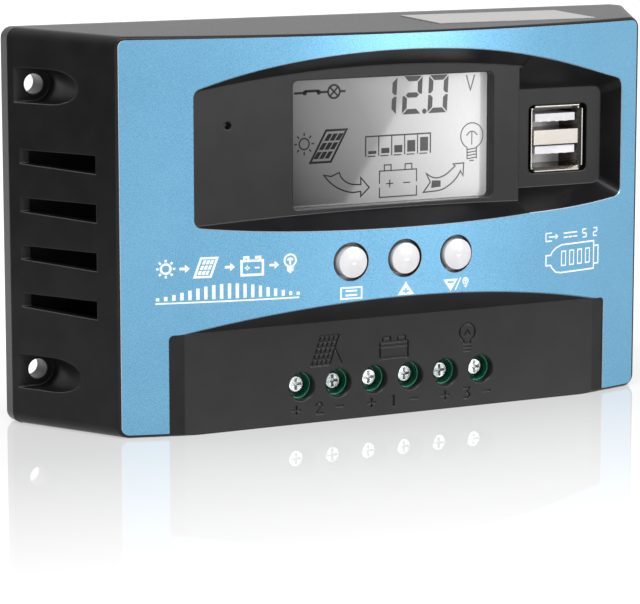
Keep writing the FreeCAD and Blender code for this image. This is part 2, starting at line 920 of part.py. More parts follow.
driver_holes = [tool for number in range(POLES) for tool in driver_hole(number)]
entry_holes = [
    block(
        "entry_hole_%d" % number,
        ("%s - entry_width/2" % pole_x(number), "entry_front_y", "-1"),
        ("%s + entry_width/2" % pole_x(number), "entry_back_y", "case_wall + 1"),
    )
    for number in range(POLES)
]
air_slots = [
    air_slot("air_slot_%s_%d" % (side, number), sign, number)
    for side, sign in (("left", "-1"), ("right", "1"))
    for number in range(4)
]
pilots = (
    bore_set("case_pilot", CASE_POSTS, "case_screw_radius + pilot_gap",
             "seam_y - case_screw_grip - 1", "seam_y + 1")
    + bore_set("main_pilot", MAIN_POSTS, "main_screw_radius + pilot_gap",
               "main_board_front_y - main_screw_grip - 1", "main_board_front_y + 1")
    + bore_set("display_pilot", DISPLAY_POSTS, "display_screw_radius + pilot_gap",
               "display_board_front_y - display_screw_grip - 1", "display_board_front_y + 1")
)

node("front_housing", cut(
    "front_housing",
    fuse("housing_body", walls, inner_features),
    recesses,
    window,
    usb_window,
    lamp_hole,
    engraving(),
    *button_holes,
    *driver_holes,
    *entry_holes,
    *air_slots,
    *pocket_channels,
    *mount_holes,
    *pilots,
))


# Label, seal and rear cover ----------------------------------------------------------

def label_sheet():
    """The bowed sheet that covers the front, before its openings."""
    centre = ("0", "apex_y + %s" % BOW_RADIUS, "-1")
    outside = doc.addObject("Part::Cylinder", "label_outside")
    bind(outside, Radius="%s + label_thickness" % BOW_RADIUS, Height="back_height + 2")
    inside = doc.addObject("Part::Cylinder", "label_inside")
    bind(inside, Radius=BOW_RADIUS, Height="back_height + 2")
    tube = cut("label_tube", place(outside, centre), place(inside, centre))
    blank = block(
        "label_blank",
        ("label_margin - front_width/2", "apex_y - 2", "label_margin"),
        ("front_width/2 - label_margin", "0", "front_height - label_margin"),
    )
    outline = rounded(
        "label_outline",
        blank,
        lambda edge: size("label_corner") if runs_along(edge, Vector(0, 1, 0)) else None,
    )
    return common("label_sheet", tube, outline)


terminal_cutout = rounded_window(
    "terminal_cutout",
    "0",
    "0",
    "2*label_cut_half",
    "2*ledge_z",
    "label_cut_corner",
    "-40",
    "0",
)
node("front_label", cut(
    "front_label",
    label_sheet(),
    display_recess("label_display_cutout", 0),
    usb_recess("label_usb_cutout", 0),
    terminal_recess("label_ledge_cutout", "0"),
    terminal_cutout,
    *button_holes,
))

seal_blank = block(
    "seal_blank",
    ("-seal_width/2", "-seal_depth/2", "seal_glue"),
    ("seal_width/2", "seal_depth/2", "seal_glue + seal_thickness"),
)
top_rise = (size("back_height") - size("front_height"))/(size("seam_y") - size("edge_y"))
seal_turn = Rotation(Vector(1, 0, 0), math.degrees(math.atan(top_rise)))
seal_turn = seal_turn.multiply(Rotation(Vector(0, 0, 1), size("seal_turn")))
node("top_seal", place(
    group("top_seal", [seal_blank]),
    ("seal_x", "seal_y", "front_height + %s*(seal_y - edge_y)" % TOP_SLOPE),
    seal_turn,
))


def cover_edge_radius(edge):
    """Round corners seen from the front, and a soft edge round the back."""
    if runs_along(edge, Vector(0, 1, 0)):
        return size("corner_round")
    if min(vertex.Y for vertex in edge.Vertexes) > size("back_y") - 0.01:
        return size("cover_edge_round")
    return None


cover_blank = rounded(
    "cover_blank",
    block("cover_block", ("-back_width/2", "seam_y", "0"), ("back_width/2", "back_y", "back_height")),
    cover_edge_radius,
)
cover_hollow = block(
    "cover_hollow",
    ("cover_rim - back_width/2", "seam_y - 1", "cover_rim"),
    ("back_width/2 - cover_rim", "back_y - cover_plate", "back_height - cover_rim"),
)
cover_bosses = common("cover_bosses", cover_blank, fuse(
    "cover_bosses_raw",
    *[
        mount_channel("cover_ear_" + corner, sign, height, POCKET_WALL_RADIUS, "seam_y", "back_y")
        for corner, sign, height in MOUNT_CORNERS
    ],
    *bore_set("cover_boss", CASE_POSTS, "cover_boss_radius", "seam_y", "back_y"),
))
BACK_SLOTS = 10
BACK_SLOT_LOW = "(spreader_bottom + spreader_top)/2 - back_slot_height/2"
BACK_SLOT_HIGH = "(spreader_bottom + spreader_top)/2 + back_slot_height/2"
back_slots = []
for number in range(BACK_SLOTS):
    across = "%s*back_slot_pitch" % (number - (BACK_SLOTS - 1)/2)
    back_slots.append(block(
        "back_slot_%d" % number,
        (across + " - back_slot_width/2", "back_y - cover_plate - 1", BACK_SLOT_LOW),
        (across + " + back_slot_width/2", "back_y + 1", BACK_SLOT_HIGH),
    ))
node("rear_cover", cut(
    "rear_cover",
    fuse("cover_shell", cut("cover_tray", cover_blank, cover_hollow), cover_bosses),
    *mount_holes,
    *back_slots,
    *bore_set("cover_screw_hole", CASE_POSTS, "cover_screw_hole_radius", "seam_y - 1", "back_y"),
    *bore_set("cover_head_recess", CASE_POSTS, "head_recess_radius", "back_y - head_recess_depth",
              "back_y + 1"),
))


# Display, status lamp and USB sockets ------------------------------------------------

def centred_block(name, across, up, half_width, half_height, front, back):
    return block(
        name,
        ("%s - (%s)" % (across, half_width), front, "%s - (%s)" % (up, half_height)),
        ("%s + %s" % (across, half_width), back, "%s + %s" % (up, half_height)),
    )


GLASS_PINS = 24
GLASS_BACK = "glass_front_y + glass_thickness"
node("display_frame", cut(
    "display_frame",
    centred_block("frame_block", "window_x", "window_z", "frame_half_width", "frame_half_height",
                  "panel_y + case_wall", "display_board_front_y"),
    centred_block("frame_inside", "window_x", "window_z", "(frame_half_width - frame_wall)",
                  "(frame_half_height - frame_wall)", "glass_front_y", "display_board_front_y + 1"),
    rounded_window("frame_window", "window_x", "window_z", "window_width", "window_height",
                   "window_corner", "panel_y", "glass_front_y + 1"),
))
node("display_glass", centred_block(
    "display_glass", "window_x", "window_z", "glass_half_width", "glass_half_height",
    "glass_front_y", GLASS_BACK,
))
node("display_backlight", centred_block(
    "display_backlight", "window_x", "window_z", "glass_half_width", "glass_half_height",
    GLASS_BACK, "display_board_front_y - backlight_gap",
))
node("display_pins", group("display_pins", [
    centred_block(
        "display_pin_%d" % number,
        "window_x + %s*glass_pin_pitch" % (number - (GLASS_PINS - 1)/2),
        "window_z - glass_half_height - glass_pin_gap",
        "glass_pin_half_width",
        "glass_pin_half_thickness",
        "glass_front_y + glass_pin_setback",
        "display_board_front_y",
    )
    for number in range(GLASS_PINS)
]))

LAMP_MIDDLE = "(panel_y + case_wall + lamp_radius + lamp_gap)"
lamp_dome = doc.addObject("Part::Sphere", "lamp_dome")
bind(lamp_dome, Radius="lamp_radius")
place(lamp_dome, ("lamp_x", LAMP_MIDDLE, "lamp_z"))
node("status_lamp", fuse(
    "status_lamp",
    lamp_dome,
    bore("lamp_barrel", "lamp_x", "lamp_z", "lamp_radius", LAMP_MIDDLE, "display_board_front_y"),
    bore("lamp_collar", "lamp_x", "lamp_z", "lamp_collar_radius",
         "display_board_front_y - lamp_collar_height", "display_board_front_y"),
))


def usb_taper(name, front_grow, back_grow, front, back):
    """A block round the USB sockets whose ends stand out from the inner opening by two amounts."""
    ends = []
    for depth, grow in ((front, front_grow), (back, back_grow)):
        half_width = "(usb_inner_width/2 + %s)" % grow
        half_height = "(usb_inner_height/2 + %s)" % grow
        ends.append((
            depth,
            "usb_x - %s" % half_width,
            "usb_x + %s" % half_width,
            "usb_z - %s" % half_height,
            "usb_z + %s" % half_height,
        ))
    return taper(name, *ends)


USB_FLARE_BACK = "usb_front_y + usb_flare_depth"
usb_notches = [
    centred_block(
        "usb_notch_%d%d" % (column, row),
        "usb_x + %d*(usb_inner_width/2 + usb_flare)" % (2*column - 1),
        "usb_z + %d*(usb_inner_height/2 + usb_flare)" % (2*row - 1),
        "usb_flare_notch/2",
        "usb_flare_notch/2",
        "usb_front_y - 1",
        "usb_front_y + 0.8*usb_flare_depth",
    )
    for column in (0, 1)
    for row in (0, 1)
]
node("usb_shell", cut(
    "usb_shell",
    fuse(
        "usb_outside",
        usb_taper("usb_flare_outside", "usb_flare + usb_sheet", "usb_sheet", "usb_front_y", USB_FLARE_BACK),
        usb_taper("usb_tube_outside", "usb_sheet", "usb_sheet", USB_FLARE_BACK, "main_board_front_y"),
    ),
    usb_taper("usb_flare_inside", "usb_flare", "0", "usb_front_y", USB_FLARE_BACK),
    usb_taper("usb_tube_inside", "0", "0", "usb_front_y + 0.5*usb_flare_depth", "main_board_front_y + 1"),
    *usb_notches,
))
USB_HALF_INSIDE = "(usb_inner_width/2 - usb_gap)"
node("usb_divider", centred_block(
    "usb_divider", "usb_x", "usb_z + usb_divider_middle", USB_HALF_INSIDE,
    "usb_divider_height/2", "usb_front_y + usb_divider_setback", "usb_base_y",
))
usb_tongues = [
    centred_block("usb_tongue_%s" % port, "usb_x", "usb_z + usb_%s_tongue" % port, "usb_tongue_width/2",
                  "usb_tongue_thickness/2", "usb_tongue_front_y", "usb_base_y + 1")
    for port in ("upper", "lower")
]
node("usb_insulator", fuse(
    "usb_insulator",
    centred_block("usb_base", "usb_x", "usb_z", USB_HALF_INSIDE, "(usb_inner_height/2 - usb_gap)",
                  "usb_base_y", "main_board_front_y"),
    *usb_tongues,
))
USB_CONTACTS = 4
node("usb_contacts", group("usb_contacts", [
    centred_block(
        "usb_contact_%s_%d" % (port, number),
        "usb_x + %s*usb_contact_pitch" % (number - (USB_CONTACTS - 1)/2),
        "usb_z + usb_%s_tongue - usb_tongue_thickness/2 - usb_contact_thickness/2 - usb_contact_gap" % port,
        "usb_contact_width/2",
        "usb_contact_thickness/2",
        "usb_tongue_front_y + usb_contact_setback",
        "usb_base_y",
    )
    for port in ("upper", "lower")
    for number in range(USB_CONTACTS)
]))


# Push buttons and their switches -----------------------------------------------------

SWITCH_FRONT = "(display_board_front_y - switch_height)"
for number, name in enumerate(BUTTONS):
    across = button_x(number)
    dome = doc.addObject("Part::Sphere", name + "_dome")
    bind(dome, Radius="button_dome_radius")
    place(dome, (across, "button_tip_y + button_dome_radius", "button_z"), TO_BACK)
    stem = bore(name + "_stem", across, "button_z", "button_radius", "button_tip_y", "button_back_y")
    flange = rod(name + "_flange", (across, "button_flange_front_y", "button_z"), "button_flange_radius",
                 "button_flange_thickness")
    socket = bore(name + "_socket", across, "button_z", "plunger_radius + plunger_socket_gap",
                  "plunger_tip_y", "button_back_y + 1")
    cap = fuse(name + "_cap", common(name + "_crowned", stem, dome), flange)
    node(name + "_button", cut(name + "_button", cap, socket))
    node(name + "_plunger", bore(name + "_plunger", across, "button_z", "plunger_radius",
                                 "plunger_tip_y", "plunger_back_y"))
    switch = centred_block(name + "_switch_case", across, "button_z", "switch_size/2", "switch_size/2",
                           SWITCH_FRONT, "display_board_front_y")
    switch_bore = bore(name + "_switch_bore", across, "button_z", "plunger_radius + plunger_running_gap",
                       SWITCH_FRONT + " - 1", "plunger_back_y + plunger_travel")
    node(name + "_switch", cut(name + "_switch", switch, switch_bore))


# Boards and what they carry ----------------------------------------------------------

main_board = plate(
    "main_board",
    rectangle("-main_board_half_width", "main_board_half_width", "main_board_bottom", "main_board_top"),
    "board_thickness",
    holes=[(across, up, "main_screw_radius + board_hole_gap") for across, up in MAIN_POSTS],
)
node("main_board", place(main_board, ("0", "main_board_front_y + board_thickness", "0")))

display_board = plate(
    "display_board",
    rectangle("display_board_left", "display_board_right", "display_board_bottom", "display_board_top"),
    "board_thickness",
    holes=[(across, up, "display_screw_radius + board_hole_gap") for across, up in DISPLAY_POSTS],
)
node("display_board", place(display_board, ("0", "display_board_front_y + board_thickness", "0")))

LINK_PINS = 6
LINK_HALF_LENGTH = "%s*link_pitch" % (LINK_PINS/2)
link_places = [
    ("link_x", "link_z + %s*link_pitch" % (number - (LINK_PINS - 1)/2)) for number in range(LINK_PINS)
]
display_back = "(display_board_front_y + board_thickness)"
link_joint = "(display_board_front_y + board_thickness + link_plug_height)"
node("link_plug", fuse(
    "link_plug",
    centred_block("link_plug_strip", "link_x", "link_z", "link_pitch/2", LINK_HALF_LENGTH,
                  display_back, link_joint),
    *bore_set("link_pin", link_places, "link_pin_radius", display_back,
              display_back + " + link_pin_length"),
))
node("link_socket", cut(
    "link_socket",
    centred_block("link_socket_strip", "link_x", "link_z", "link_pitch/2", LINK_HALF_LENGTH,
                  link_joint, "main_board_front_y"),
    *bore_set("link_hole", link_places, "link_pin_radius + link_pin_gap", link_joint + " - 1",
              display_back + " + link_pin_length + 10*link_pin_gap"),
))

capacitor_profile = [
    ("0", "0"),
    ("capacitor_radius - capacitor_groove/2", "0"),
    ("capacitor_radius", "capacitor_groove"),
    ("capacitor_radius", "capacitor_groove_up - capacitor_groove"),
    ("capacitor_radius - capacitor_groove", "capacitor_groove_up"),
    ("capacitor_radius - capacitor_groove", "capacitor_groove_up + capacitor_groove"),
    ("capacitor_radius", "capacitor_groove_up + 2*capacitor_groove"),
    ("capacitor_radius", "capacitor_height - capacitor_groove"),
    ("capacitor_radius - capacitor_groove", "capacitor_height"),
    ("0", "capacitor_height"),
]
CAPACITOR_PLACES = (-49.5, -38.0, 38.0)
for number, across in enumerate(CAPACITOR_PLACES, start=1):
    name = "capacitor_%d" % number
    capacitor = lathe(name, capacitor_profile)
    node(name, place(capacitor, (str(across), "main_board_front_y", "capacitor_z"), TO_FRONT))

FUSE_BODY_BACK = "(main_board_front_y - fuse_standoff)"
fuse_blades = [
    centred_block("fuse_blade_" + side, "fuse_x %s fuse_blade_x" % sign, "fuse_z", "fuse_blade_width/2",
                  "fuse_blade_thickness/2", FUSE_BODY_BACK + " - 1", "main_board_front_y")
    for side, sign in (("left", "-"), ("right", "+"))
]
node("blade_fuse", fuse(
    "blade_fuse",
    centred_block("fuse_body", "fuse_x", "fuse_z", "fuse_width/2", "fuse_depth/2",
                  FUSE_BODY_BACK + " - fuse_height", FUSE_BODY_BACK),
    *fuse_blades,
))

INDUCTOR_AT = ("inductor_x", "main_board_front_y", "inductor_z")
inductor_core = lathe("inductor_core", [
    ("0", "0"),
    ("inductor_radius", "0"),
    ("inductor_radius", "inductor_flange"),
    ("inductor_waist", "inductor_flange"),
    ("inductor_waist", "inductor_height - inductor_flange"),
    ("inductor_radius", "inductor_height - inductor_flange"),
    ("inductor_radius", "inductor_height"),
    ("0", "inductor_height"),
])
node("inductor_core", place(inductor_core, INDUCTOR_AT, TO_FRONT))
WINDING_LOW = "inductor_flange + winding_gap"
WINDING_HIGH = "inductor_height - inductor_flange - winding_gap"
inductor_winding = lathe("inductor_winding", [
    ("inductor_waist + winding_gap", WINDING_LOW),
    ("winding_radius", WINDING_LOW),
    ("winding_radius", WINDING_HIGH),
    ("inductor_waist + winding_gap", WINDING_HIGH),
])
node("inductor_winding", place(inductor_winding, INDUCTOR_AT, TO_FRONT))

node("controller_chip", centred_block(
    "controller_chip", "controller_chip_x", "chip_z", "chip_size/2", "chip_size/2",
    display_back, display_back + " + chip_height",
))
node("charger_chip", centred_block(
    "charger_chip", "charger_chip_x", "chip_z", "chip_size/2", "chip_size/2",
    "main_board_front_y - chip_height", "main_board_front_y",
))

TRANSISTORS = 4
TRANSISTOR_LEADS = 3
SPREADER_FRONT = "(back_y - cover_plate - spreader_thickness)"
TAB_HOLE_Z = "transistor_z + tab_hole_up"
transistor_x = ["%s*transistor_pitch" % (number - (TRANSISTORS - 1)/2) for number in range(TRANSISTORS)]
tab_places = [(across, TAB_HOLE_Z) for across in transistor_x]
spreader = plate(
    "heat_spreader",
    rectangle("-spreader_half_width", "spreader_half_width", "spreader_bottom", "spreader_top"),
    "spreader_thickness",
    holes=[(across, up, "tab_screw_radius + pilot_gap") for across, up in tab_places],
)
node("heat_spreader", place(spreader, ("0", "back_y - cover_plate", "0")))
node("thermal_pad", cut(
    "thermal_pad",
    block("pad_sheet", ("-pad_half_width", SPREADER_FRONT + " - pad_thickness", "pad_bottom"),
          ("pad_half_width", SPREADER_FRONT, "pad_top")),
    *bore_set("pad_hole", tab_places, "tab_hole_radius", SPREADER_FRONT + " - 1", SPREADER_FRONT + " + 1"),
))
TAB_BACK = "(back_y - cover_plate - spreader_thickness - pad_thickness)"
TAB_FRONT = TAB_BACK + " - tab_thickness"
LEAD_BACK = TAB_BACK + " - lead_depth"
LEAD_BEND_Z = "transistor_z - lead_bend"
for number, across in enumerate(transistor_x, start=1):
    name = "transistor_%d" % number
    tab = centred_block(name + "_tab", across, "transistor_z + tab_up", "transistor_width/2",
                        "tab_height/2", TAB_FRONT, TAB_BACK)
    case = centred_block(name + "_case", across, "transistor_z - case_down", "transistor_width/2",
                         "transistor_height/2", TAB_BACK + " - transistor_depth", TAB_BACK)
    leads = []
    for lead in range(TRANSISTOR_LEADS):
        spot = "%s + %s*lead_pitch" % (across, lead - (TRANSISTOR_LEADS - 1)/2)
        leads.append(block(
            "%s_lead_%d" % (name, lead),
            (spot + " - lead_width/2", LEAD_BACK + " - lead_thickness", LEAD_BEND_Z),
            (spot + " + lead_width/2", LEAD_BACK, "transistor_z - case_down"),
        ))
        leads.append(block(
            "%s_leg_%d" % (name, lead),
            (spot + " - lead_width/2", "main_board_front_y + board_thickness", LEAD_BEND_Z),
            (spot + " + lead_width/2", LEAD_BACK, LEAD_BEND_Z + " + lead_thickness"),
        ))
    hole = bore(name + "_hole", across, TAB_HOLE_Z, "tab_hole_radius", TAB_BACK + " - 6", TAB_BACK + " + 1")
    node(name, cut(name, fuse(name + "_solid", tab, case, *leads), hole))


# Terminal block ----------------------------------------------------------------------

BLOCK_FRONT = "(terminal_y + case_wall)"
CHAMBER_HALF = "(clamp_width/2 + clamp_gap)"
CHAMBER_LOW = "screw_z - clamp_length/2 - clamp_gap"
CHAMBER_HIGH = "screw_z + clamp_length/2 + clamp_gap"
CONTACT_FRONT = "(entry_front_y + clearance)"
CONTACT_BACK = "(entry_front_y + clearance + contact_thickness)"
SHANK_HOLE = "screw_radius + screw_running_gap"

block_tools = []
for number in range(POLES):
    across = pole_x(number)
    block_tools += [
        bore("well_%d" % number, across, "screw_z", "well_radius", "well_front_y - 1", "web_front_y"),
        bore("web_hole_%d" % number, across, "screw_z", SHANK_HOLE, "web_front_y - 1", "web_back_y + 1"),
        block(
            "chamber_%d" % number,
            ("%s - %s" % (across, CHAMBER_HALF), "web_back_y", CHAMBER_LOW),
            ("%s + %s" % (across, CHAMBER_HALF), "clamp_back_y + clamp_gap", CHAMBER_HIGH),
        ),
        block(
            "block_entry_%d" % number,
            ("%s - entry_width/2" % across, "entry_front_y", "block_bottom - 1"),
            ("%s + entry_width/2" % across, "entry_back_y", "screw_z"),
        ),
        block(
            "wire_end_%d" % number,
            ("%s - contact_width/2 - 2*clearance" % across, "entry_front_y", "screw_z"),
            ("%s + contact_width/2 + 2*clearance" % across, "entry_back_y", "contact_top + 2*clearance"),
        ),
        block(
            "leg_slot_%d" % number,
            (
                "%s - contact_leg_width/2 - 2*clearance" % across,
                "entry_back_y - 1",
                "contact_top - contact_thickness - 2*clearance",
            ),
            (
                "%s + contact_leg_width/2 + 2*clearance" % across,
                "block_back_y + 1",
                "contact_top + 2*clearance",
            ),
        ),
    ]
well_collars = [
    bore("well_collar_%d" % number, pole_x(number), "screw_z", "driver_hole_radius - clearance",
         "well_front_y", BLOCK_FRONT + " + 1")
    for number in range(POLES)
]
block_blank = block(
    "block_blank",
    ("pole_row_x - block_width/2", BLOCK_FRONT, "block_bottom"),
    ("pole_row_x + block_width/2", "block_back_y", "block_top"),
)
node("terminal_block", cut("terminal_block", fuse("block_solid", block_blank, *well_collars), *block_tools))
node("terminal_contacts", group("terminal_contacts", [
    fuse(
        "contact_%d" % number,
        block(
            "contact_blade_%d" % number,
            ("%s - contact_width/2" % pole_x(number), CONTACT_FRONT, "contact_bottom"),
            ("%s + contact_width/2" % pole_x(number), CONTACT_BACK, "contact_top"),
        ),
        block(
            "contact_leg_%d" % number,
            ("%s - contact_leg_width/2" % pole_x(number), CONTACT_FRONT, "contact_top - contact_thickness"),
            ("%s + contact_leg_width/2" % pole_x(number), "main_board_front_y", "contact_top"),
        ),
    )
    for number in range(POLES)
]))
for number in range(POLES):
    across = pole_x(number)
    name = "wire_clamp_%d" % (number + 1)
    node(name, cut(
        name,
        block(
            name + "_blank",
            ("%s - clamp_width/2" % across, "clamp_front_y", "screw_z - clamp_length/2"),
            ("%s + clamp_width/2" % across, "clamp_back_y", "screw_z + clamp_length/2"),
        ),
        block(
            name + "_window",
            ("%s - clamp_width/2 + clamp_side" % across, "clamp_front_y + clamp_nut", "0"),
            ("%s + clamp_width/2 - clamp_side" % across, "clamp_back_y - clamp_sole", "2*screw_z"),
        ),
        bore(name + "_nut", across, "screw_z", SHANK_HOLE, "clamp_front_y - 1",
             "clamp_front_y + clamp_nut + 1"),
    ))


# Screws ------------------------------------------------------------------------------

def plus_outline(arm, half):
    """A cross with arms of a length and a half width, for a driver recess."""
    corners = []
    for across, up in ((1, 1), (-1, 1), (-1, -1), (1, -1)):
        outer = [("%d*%s" % (across, arm), "%d*%s" % (up, half)),
                 ("%d*%s" % (across, half), "%d*%s" % (up, half)),
                 ("%d*%s" % (across, half), "%d*%s" % (up, arm))]
        corners += outer if across*up > 0 else outer[::-1]
    return corners


def screw(name, at, turn, kind, shank_length):
    """A pan-head screw from its tip, with a cross recess. Its kind names its sizes in the sheet."""
    shank_radius = kind + "_radius"
    head_radius = kind + "_head_radius"
    top = "%s + %s_head_height" % (shank_length, kind)
    body = lathe(name, [
        ("0", "0"),
        (shank_radius + " - screw_edge", "0"),
        (shank_radius, "screw_edge"),
        (shank_radius, shank_length),
        (head_radius, shank_length),
        (head_radius, top + " - screw_edge"),
        (head_radius + " - screw_edge", top),
        ("0", top),
    ])
    sketch = new_sketch(body, name + "_recess", "XY_Plane", top)
    add_polygon(sketch, plus_outline("(0.66*%s)" % head_radius, "(0.15*%s)" % head_radius))
    pocket = body.newObject("PartDesign::Pocket", name + "_driven")
    pocket.Profile = sketch
    bind(pocket, Length="0.45*%s_head_height" % kind)
    sketch.Visibility = False
    return place(body, at, turn)


for number in range(POLES):
    name = "terminal_screw_%d" % (number + 1)
    node(name, screw(name, (pole_x(number), "screw_tip_y", "screw_z"), TO_FRONT, "screw",
                     "(screw_tip_y - web_front_y + clearance)"))

node("case_screws", group("case_screws", [
    screw("case_screw_%d" % number, (across, "seam_y - case_screw_grip", up), TO_BACK, "case_screw",
          "(back_y - head_recess_depth - seam_y + case_screw_grip)")
    for number, (across, up) in enumerate(CASE_POSTS, start=1)
]))
node("main_board_screws", group("main_board_screws", [
    screw("main_board_screw_%d" % number, (across, "main_board_front_y - main_screw_grip", up), TO_BACK,
          "main_screw", "(main_screw_grip + board_thickness)")
    for number, (across, up) in enumerate(MAIN_POSTS, start=1)
]))
node("display_board_screws", group("display_board_screws", [
    screw("display_board_screw_%d" % number, (across, "display_board_front_y - display_screw_grip", up),
          TO_BACK, "display_screw", "(display_screw_grip + board_thickness)")
    for number, (across, up) in enumerate(DISPLAY_POSTS, start=1)
]))
node("transistor_screws", group("transistor_screws", [
    screw("transistor_screw_%d" % number, (across, SPREADER_FRONT + " + tab_screw_grip", up), TO_FRONT,
          "tab_screw", "(tab_screw_grip + pad_thickness + tab_thickness)")
    for number, (across, up) in enumerate(tab_places, start=1)
]))


# Check and export --------------------------------------------------------------------

def check_document():
    """Stop if any object failed or any sub-part has no sound solid."""
    doc.recompute()
    for item in doc.Objects:
        if "Invalid" in item.State or "Error" in item.State:
            raise RuntimeError("%s failed to build" % item.Label)
    for label, part in nodes.items():
        shape = part.Shape
        if shape.isNull() or not shape.isValid() or not shape.Solids:
            raise RuntimeError("%s has no valid solid" % label)


check_document()
os.makedirs("parts", exist_ok=True)
for label, part in nodes.items():
    part.Shape.exportStep("parts/%s.step" % label)
print("%d sub-parts written" % len(nodes))
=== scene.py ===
import json
import math

import bmesh
import bpy
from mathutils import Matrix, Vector
from mathutils.bvhtree import BVHTree

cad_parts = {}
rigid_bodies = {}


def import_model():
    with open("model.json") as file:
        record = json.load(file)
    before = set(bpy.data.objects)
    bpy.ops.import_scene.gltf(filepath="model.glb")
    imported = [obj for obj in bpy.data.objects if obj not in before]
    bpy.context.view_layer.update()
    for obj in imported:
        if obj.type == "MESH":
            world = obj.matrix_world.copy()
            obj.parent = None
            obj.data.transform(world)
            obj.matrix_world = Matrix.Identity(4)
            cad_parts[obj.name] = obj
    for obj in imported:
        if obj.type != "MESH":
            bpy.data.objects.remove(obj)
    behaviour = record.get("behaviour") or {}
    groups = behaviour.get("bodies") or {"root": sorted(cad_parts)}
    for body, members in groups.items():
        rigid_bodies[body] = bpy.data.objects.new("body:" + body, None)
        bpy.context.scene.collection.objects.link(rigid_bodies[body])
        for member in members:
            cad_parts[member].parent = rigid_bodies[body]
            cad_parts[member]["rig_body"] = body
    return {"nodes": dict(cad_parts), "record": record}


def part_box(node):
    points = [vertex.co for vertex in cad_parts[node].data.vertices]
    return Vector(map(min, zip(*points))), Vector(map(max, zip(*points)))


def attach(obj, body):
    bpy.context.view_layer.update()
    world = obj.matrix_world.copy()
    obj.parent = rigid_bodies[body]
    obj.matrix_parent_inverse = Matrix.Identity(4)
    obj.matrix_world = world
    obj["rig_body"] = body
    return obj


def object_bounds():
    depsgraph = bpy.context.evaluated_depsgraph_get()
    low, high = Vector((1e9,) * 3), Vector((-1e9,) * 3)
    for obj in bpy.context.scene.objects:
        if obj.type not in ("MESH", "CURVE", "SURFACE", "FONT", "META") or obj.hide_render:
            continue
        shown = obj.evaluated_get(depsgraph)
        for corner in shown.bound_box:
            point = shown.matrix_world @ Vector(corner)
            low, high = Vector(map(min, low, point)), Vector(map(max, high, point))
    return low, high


# Looks of a solar charge controller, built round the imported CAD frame.
# Everything is in metres in the frame's own axes; MM turns millimetres into metres.

MM = 0.001

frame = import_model()
cad_low, cad_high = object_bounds()


# Material helpers ---------------------------------------------------------------------

def new_shader(name):
    """A material with its node tree, its principled shader and the object's own coordinates."""
    material = bpy.data.materials.new(name)
    material.use_nodes = True
    tree = material.node_tree
    coords = tree.nodes.new("ShaderNodeTexCoord").outputs["Object"]
    return material, tree, tree.nodes["Principled BSDF"], coords


def scaled(tree, coords, cell, turn=(0.0, 0.0, 0.0)):
    """Coordinates in which one unit is one cell, given in millimetres along each axis."""
    mapping = tree.nodes.new("ShaderNodeMapping")
    mapping.inputs["Scale"].default_value = [1000.0/length for length in cell]
    mapping.inputs["Rotation"].default_value = [math.radians(angle) for angle in turn]
    tree.links.new(coords, mapping.inputs["Vector"])
    return mapping.outputs["Vector"]


def noise(tree, coords, cell, detail=3.0):
    """Soft noise whose grain is about one cell."""
    node = tree.nodes.new("ShaderNodeTexNoise")
    node.inputs["Scale"].default_value = 1.0
    node.inputs["Detail"].default_value = detail
    tree.links.new(scaled(tree, coords, cell), node.inputs["Vector"])
    return node.outputs["Fac"]


def flakes(tree, coords, cell):
    """A random shade for each small cell."""
    node = tree.nodes.new("ShaderNodeTexVoronoi")
    node.inputs["Scale"].default_value = 1.0
    tree.links.new(scaled(tree, coords, (cell, cell, cell)), node.inputs["Vector"])
    split = tree.nodes.new("ShaderNodeSeparateColor")
    tree.links.new(node.outputs["Color"], split.inputs["Color"])
    return split.outputs["Red"]


def bands(tree, coords, cell, turn=(0.0, 0.0, 0.0), distortion=0.0):
    """Stripes across X, each about 0.63 of a cell wide."""
    node = tree.nodes.new("ShaderNodeTexWave")
    node.inputs["Scale"].default_value = 0.5
    node.inputs["Distortion"].default_value = distortion
    tree.links.new(scaled(tree, coords, cell, turn), node.inputs["Vector"])
    return node.outputs["Fac"]


def ranged(tree, value, source, target):
    """A value carried from one range to another, and held inside it."""
    node = tree.nodes.new("ShaderNodeMapRange")
    node.inputs["From Min"].default_value, node.inputs["From Max"].default_value = source
    node.inputs["To Min"].default_value, node.inputs["To Max"].default_value = target
    tree.links.new(value, node.inputs["Value"])
    return node.outputs["Result"]


def mixed(tree, value, first, second):
    """A colour between two colours or colour outputs."""
    node = tree.nodes.new("ShaderNodeMix")
    node.data_type = "RGBA"
    tree.links.new(value, node.inputs["Factor"])
    for socket, colour in ((node.inputs[6], first), (node.inputs[7], second)):
        if isinstance(colour, bpy.types.NodeSocket):
            tree.links.new(colour, socket)
        else:
            socket.default_value = (*colour, 1.0)
    return node.outputs[2]


def along(tree, coords, axis):
    """One of the object's own coordinates, in metres."""
    node = tree.nodes.new("ShaderNodeSeparateXYZ")
    tree.links.new(coords, node.inputs["Vector"])
    return node.outputs[axis]


def facing(tree, axis):
    """The part of the surface's own normal along an axis."""
    normal = tree.nodes.new("ShaderNodeNewGeometry").outputs["Normal"]
    return along(tree, normal, axis)


def rounded_edges(tree, radius):
    """A normal that softens sharp edges by a radius in millimetres."""
    node = tree.nodes.new("ShaderNodeBevel")
    node.samples = 4
    node.inputs["Radius"].default_value = radius*MM
    return node.outputs["Normal"]


def math_node(tree, operation, first, second):
    """Two values or outputs joined by an arithmetic operation."""
    node = tree.nodes.new("ShaderNodeMath")
    node.operation = operation
    for socket, value in zip(node.inputs, (first, second)):
        if isinstance(value, bpy.types.NodeSocket):
            tree.links.new(value, socket)
        else:
            socket.default_value = value
    return node.outputs["Value"]


